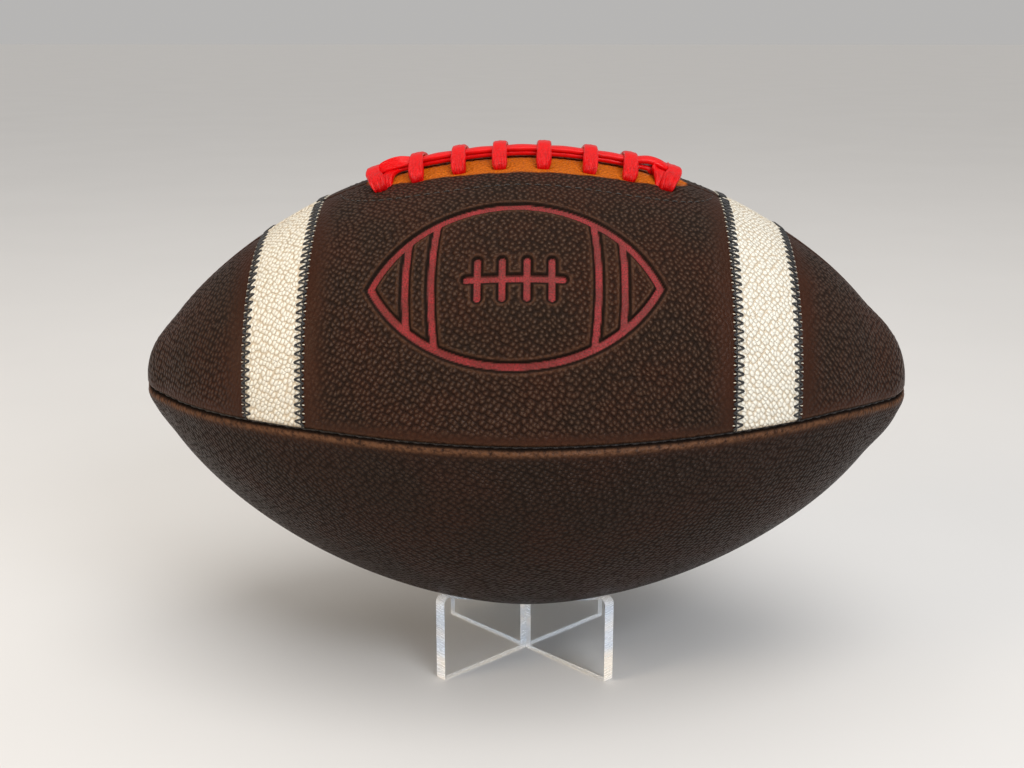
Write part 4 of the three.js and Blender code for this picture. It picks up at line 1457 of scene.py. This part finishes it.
for panelName in quarters:
    makePanel(panelName)
    makeLining(panelName)
print("panels and linings made")

for panelName in ("FrontUpper", "BackUpper"):
    for stripeEnd in ("left", "right"):
        makeStripe(panelName, stripeEnd)
        makeZigzag(panelName, stripeEnd, 0)
        makeZigzag(panelName, stripeEnd, 1)
print("stripes stitched on")

for sign, word in ((-1, "front"), (1, "back")):
    makeFacing(sign, word)
    makeFacingStitches(sign, word)
makeTongue()
makeLace()
print("laced up")

reach, laceEnd = seamStitch["reach"], seamStitch["laceEnd"]
for word in ("front", "back", "bottom"):
    makeSeamThread("seam_thread_" + word, seamAngle[word], -reach, reach)
makeSeamThread("seam_thread_top_left", seamAngle["lacing"], -reach, -laceEnd)
makeSeamThread("seam_thread_top_right", seamAngle["lacing"], laceEnd, reach)

makeBladder()
makeValve()

makePlate("plateLower", "stand_plate_lower", "lower_plate", 45, True)
makePlate("plateUpper", "stand_plate_upper", "upper_plate", -45, False)
print("stand made")


# floor, lights and camera

def makeFloor():
    size = 12  # half the side, in metres
    mesh = bpy.data.meshes.new("floor")
    corners = [(-size, -size, 0), (size, -size, 0), (size, size, 0), (-size, size, 0)]
    mesh.from_pydata(corners, [], [(0, 1, 2, 3)])
    floor = bpy.data.objects.new("floor", mesh)
    floor.location.z = -0.0002  # just under the stand
    bpy.context.scene.collection.objects.link(floor)
    material, tree, shader = startMaterial("paleFloor", 0.6)
    cloud = noiseNode(tree, objectVector(tree), 6, 3)
    colour = mixColour(tree, cloud, (0.64, 0.625, 0.61), (0.68, 0.665, 0.65))
    tree.links.new(colour, shader.inputs["Base Color"])
    mesh.materials.append(material)


lights = {
    # name: place, size, watts, colour
    "window": ((0.55, -0.95, 0.75), (0.6, 0.4), 8, (0.86, 0.92, 1.0)),
    "ceiling": ((0.0, 0.15, 1.5), (1.6, 1.2), 7, (1.0, 0.98, 0.95)),
    "warmSide": ((-1.1, -0.6, 0.55), (0.5, 0.5), 7, (1.0, 0.84, 0.64)),
}
daylight = {"strength": 1.7, "spread": 50, "from": (0.25, -0.45, 1.0), "colour": (1.0, 0.985, 0.96)}
room = {"seen": 0.47, "light": 0.30}


def addLight(data, spot, aim):
    # puts a lamp at the spot, turned to shine along the aim
    light = bpy.data.objects.new(data.name, data)
    light.location = spot
    yaw = math.atan2(aim[1], aim[0])
    pitch = math.atan2(math.hypot(aim[0], aim[1]), -aim[2])
    light.rotation_euler = (pitch, 0, yaw - math.pi / 2)
    bpy.context.scene.collection.objects.link(light)


def makeLights():
    target = np.array([0, 0, 0.1])
    for name, (spot, size, watts, colour) in lights.items():
        data = bpy.data.lights.new(name, "AREA")
        data.shape = "RECTANGLE"
        data.size, data.size_y = size
        data.energy = watts
        data.color = colour
        addLight(data, spot, target - np.array(spot))


def makeDaylight():
    # far and wide, so that the whole floor is lit alike
    data = bpy.data.lights.new("daylight", "SUN")
    data.energy = daylight["strength"]
    data.angle = math.radians(daylight["spread"])
    data.color = daylight["colour"]
    addLight(data, (0, 0, 0), -np.array(daylight["from"]))


def makeRoom():
    # a pale room behind, which lights the ball less than it shows
    world = bpy.data.worlds.new("paleRoom")
    world.use_nodes = True
    tree = world.node_tree
    background = tree.nodes["Background"]
    background.inputs["Color"].default_value = (1.0, 0.985, 0.97, 1)
    seen = tree.nodes.new("ShaderNodeLightPath").outputs["Is Camera Ray"]
    strength = rangeNode(tree, seen, 0, 1, room["light"], room["seen"], "LINEAR")
    tree.links.new(strength, background.inputs["Strength"])
    bpy.context.scene.world = world


cameraSetup = {
    "place": (0.0058, -0.5128, 0.2380),
    "pitch": 75.46,
    "yaw": 1.24,
    "lens": 49.92,
}


def makeCamera():
    data = bpy.data.cameras.new("camera")
    data.sensor_width = 36
    data.lens = cameraSetup["lens"]
    data.clip_start = 0.01
    camera = bpy.data.objects.new("camera", data)
    camera.location = cameraSetup["place"]
    camera.rotation_euler = (math.radians(cameraSetup["pitch"]), 0, math.radians(cameraSetup["yaw"]))
    bpy.context.scene.collection.objects.link(camera)
    bpy.context.scene.camera = camera


makeFloor()
makeLights()
makeDaylight()
makeRoom()
makeCamera()
bpy.context.scene.view_settings.view_transform = "Standard"
bpy.context.view_layer.update()
print("stage set")
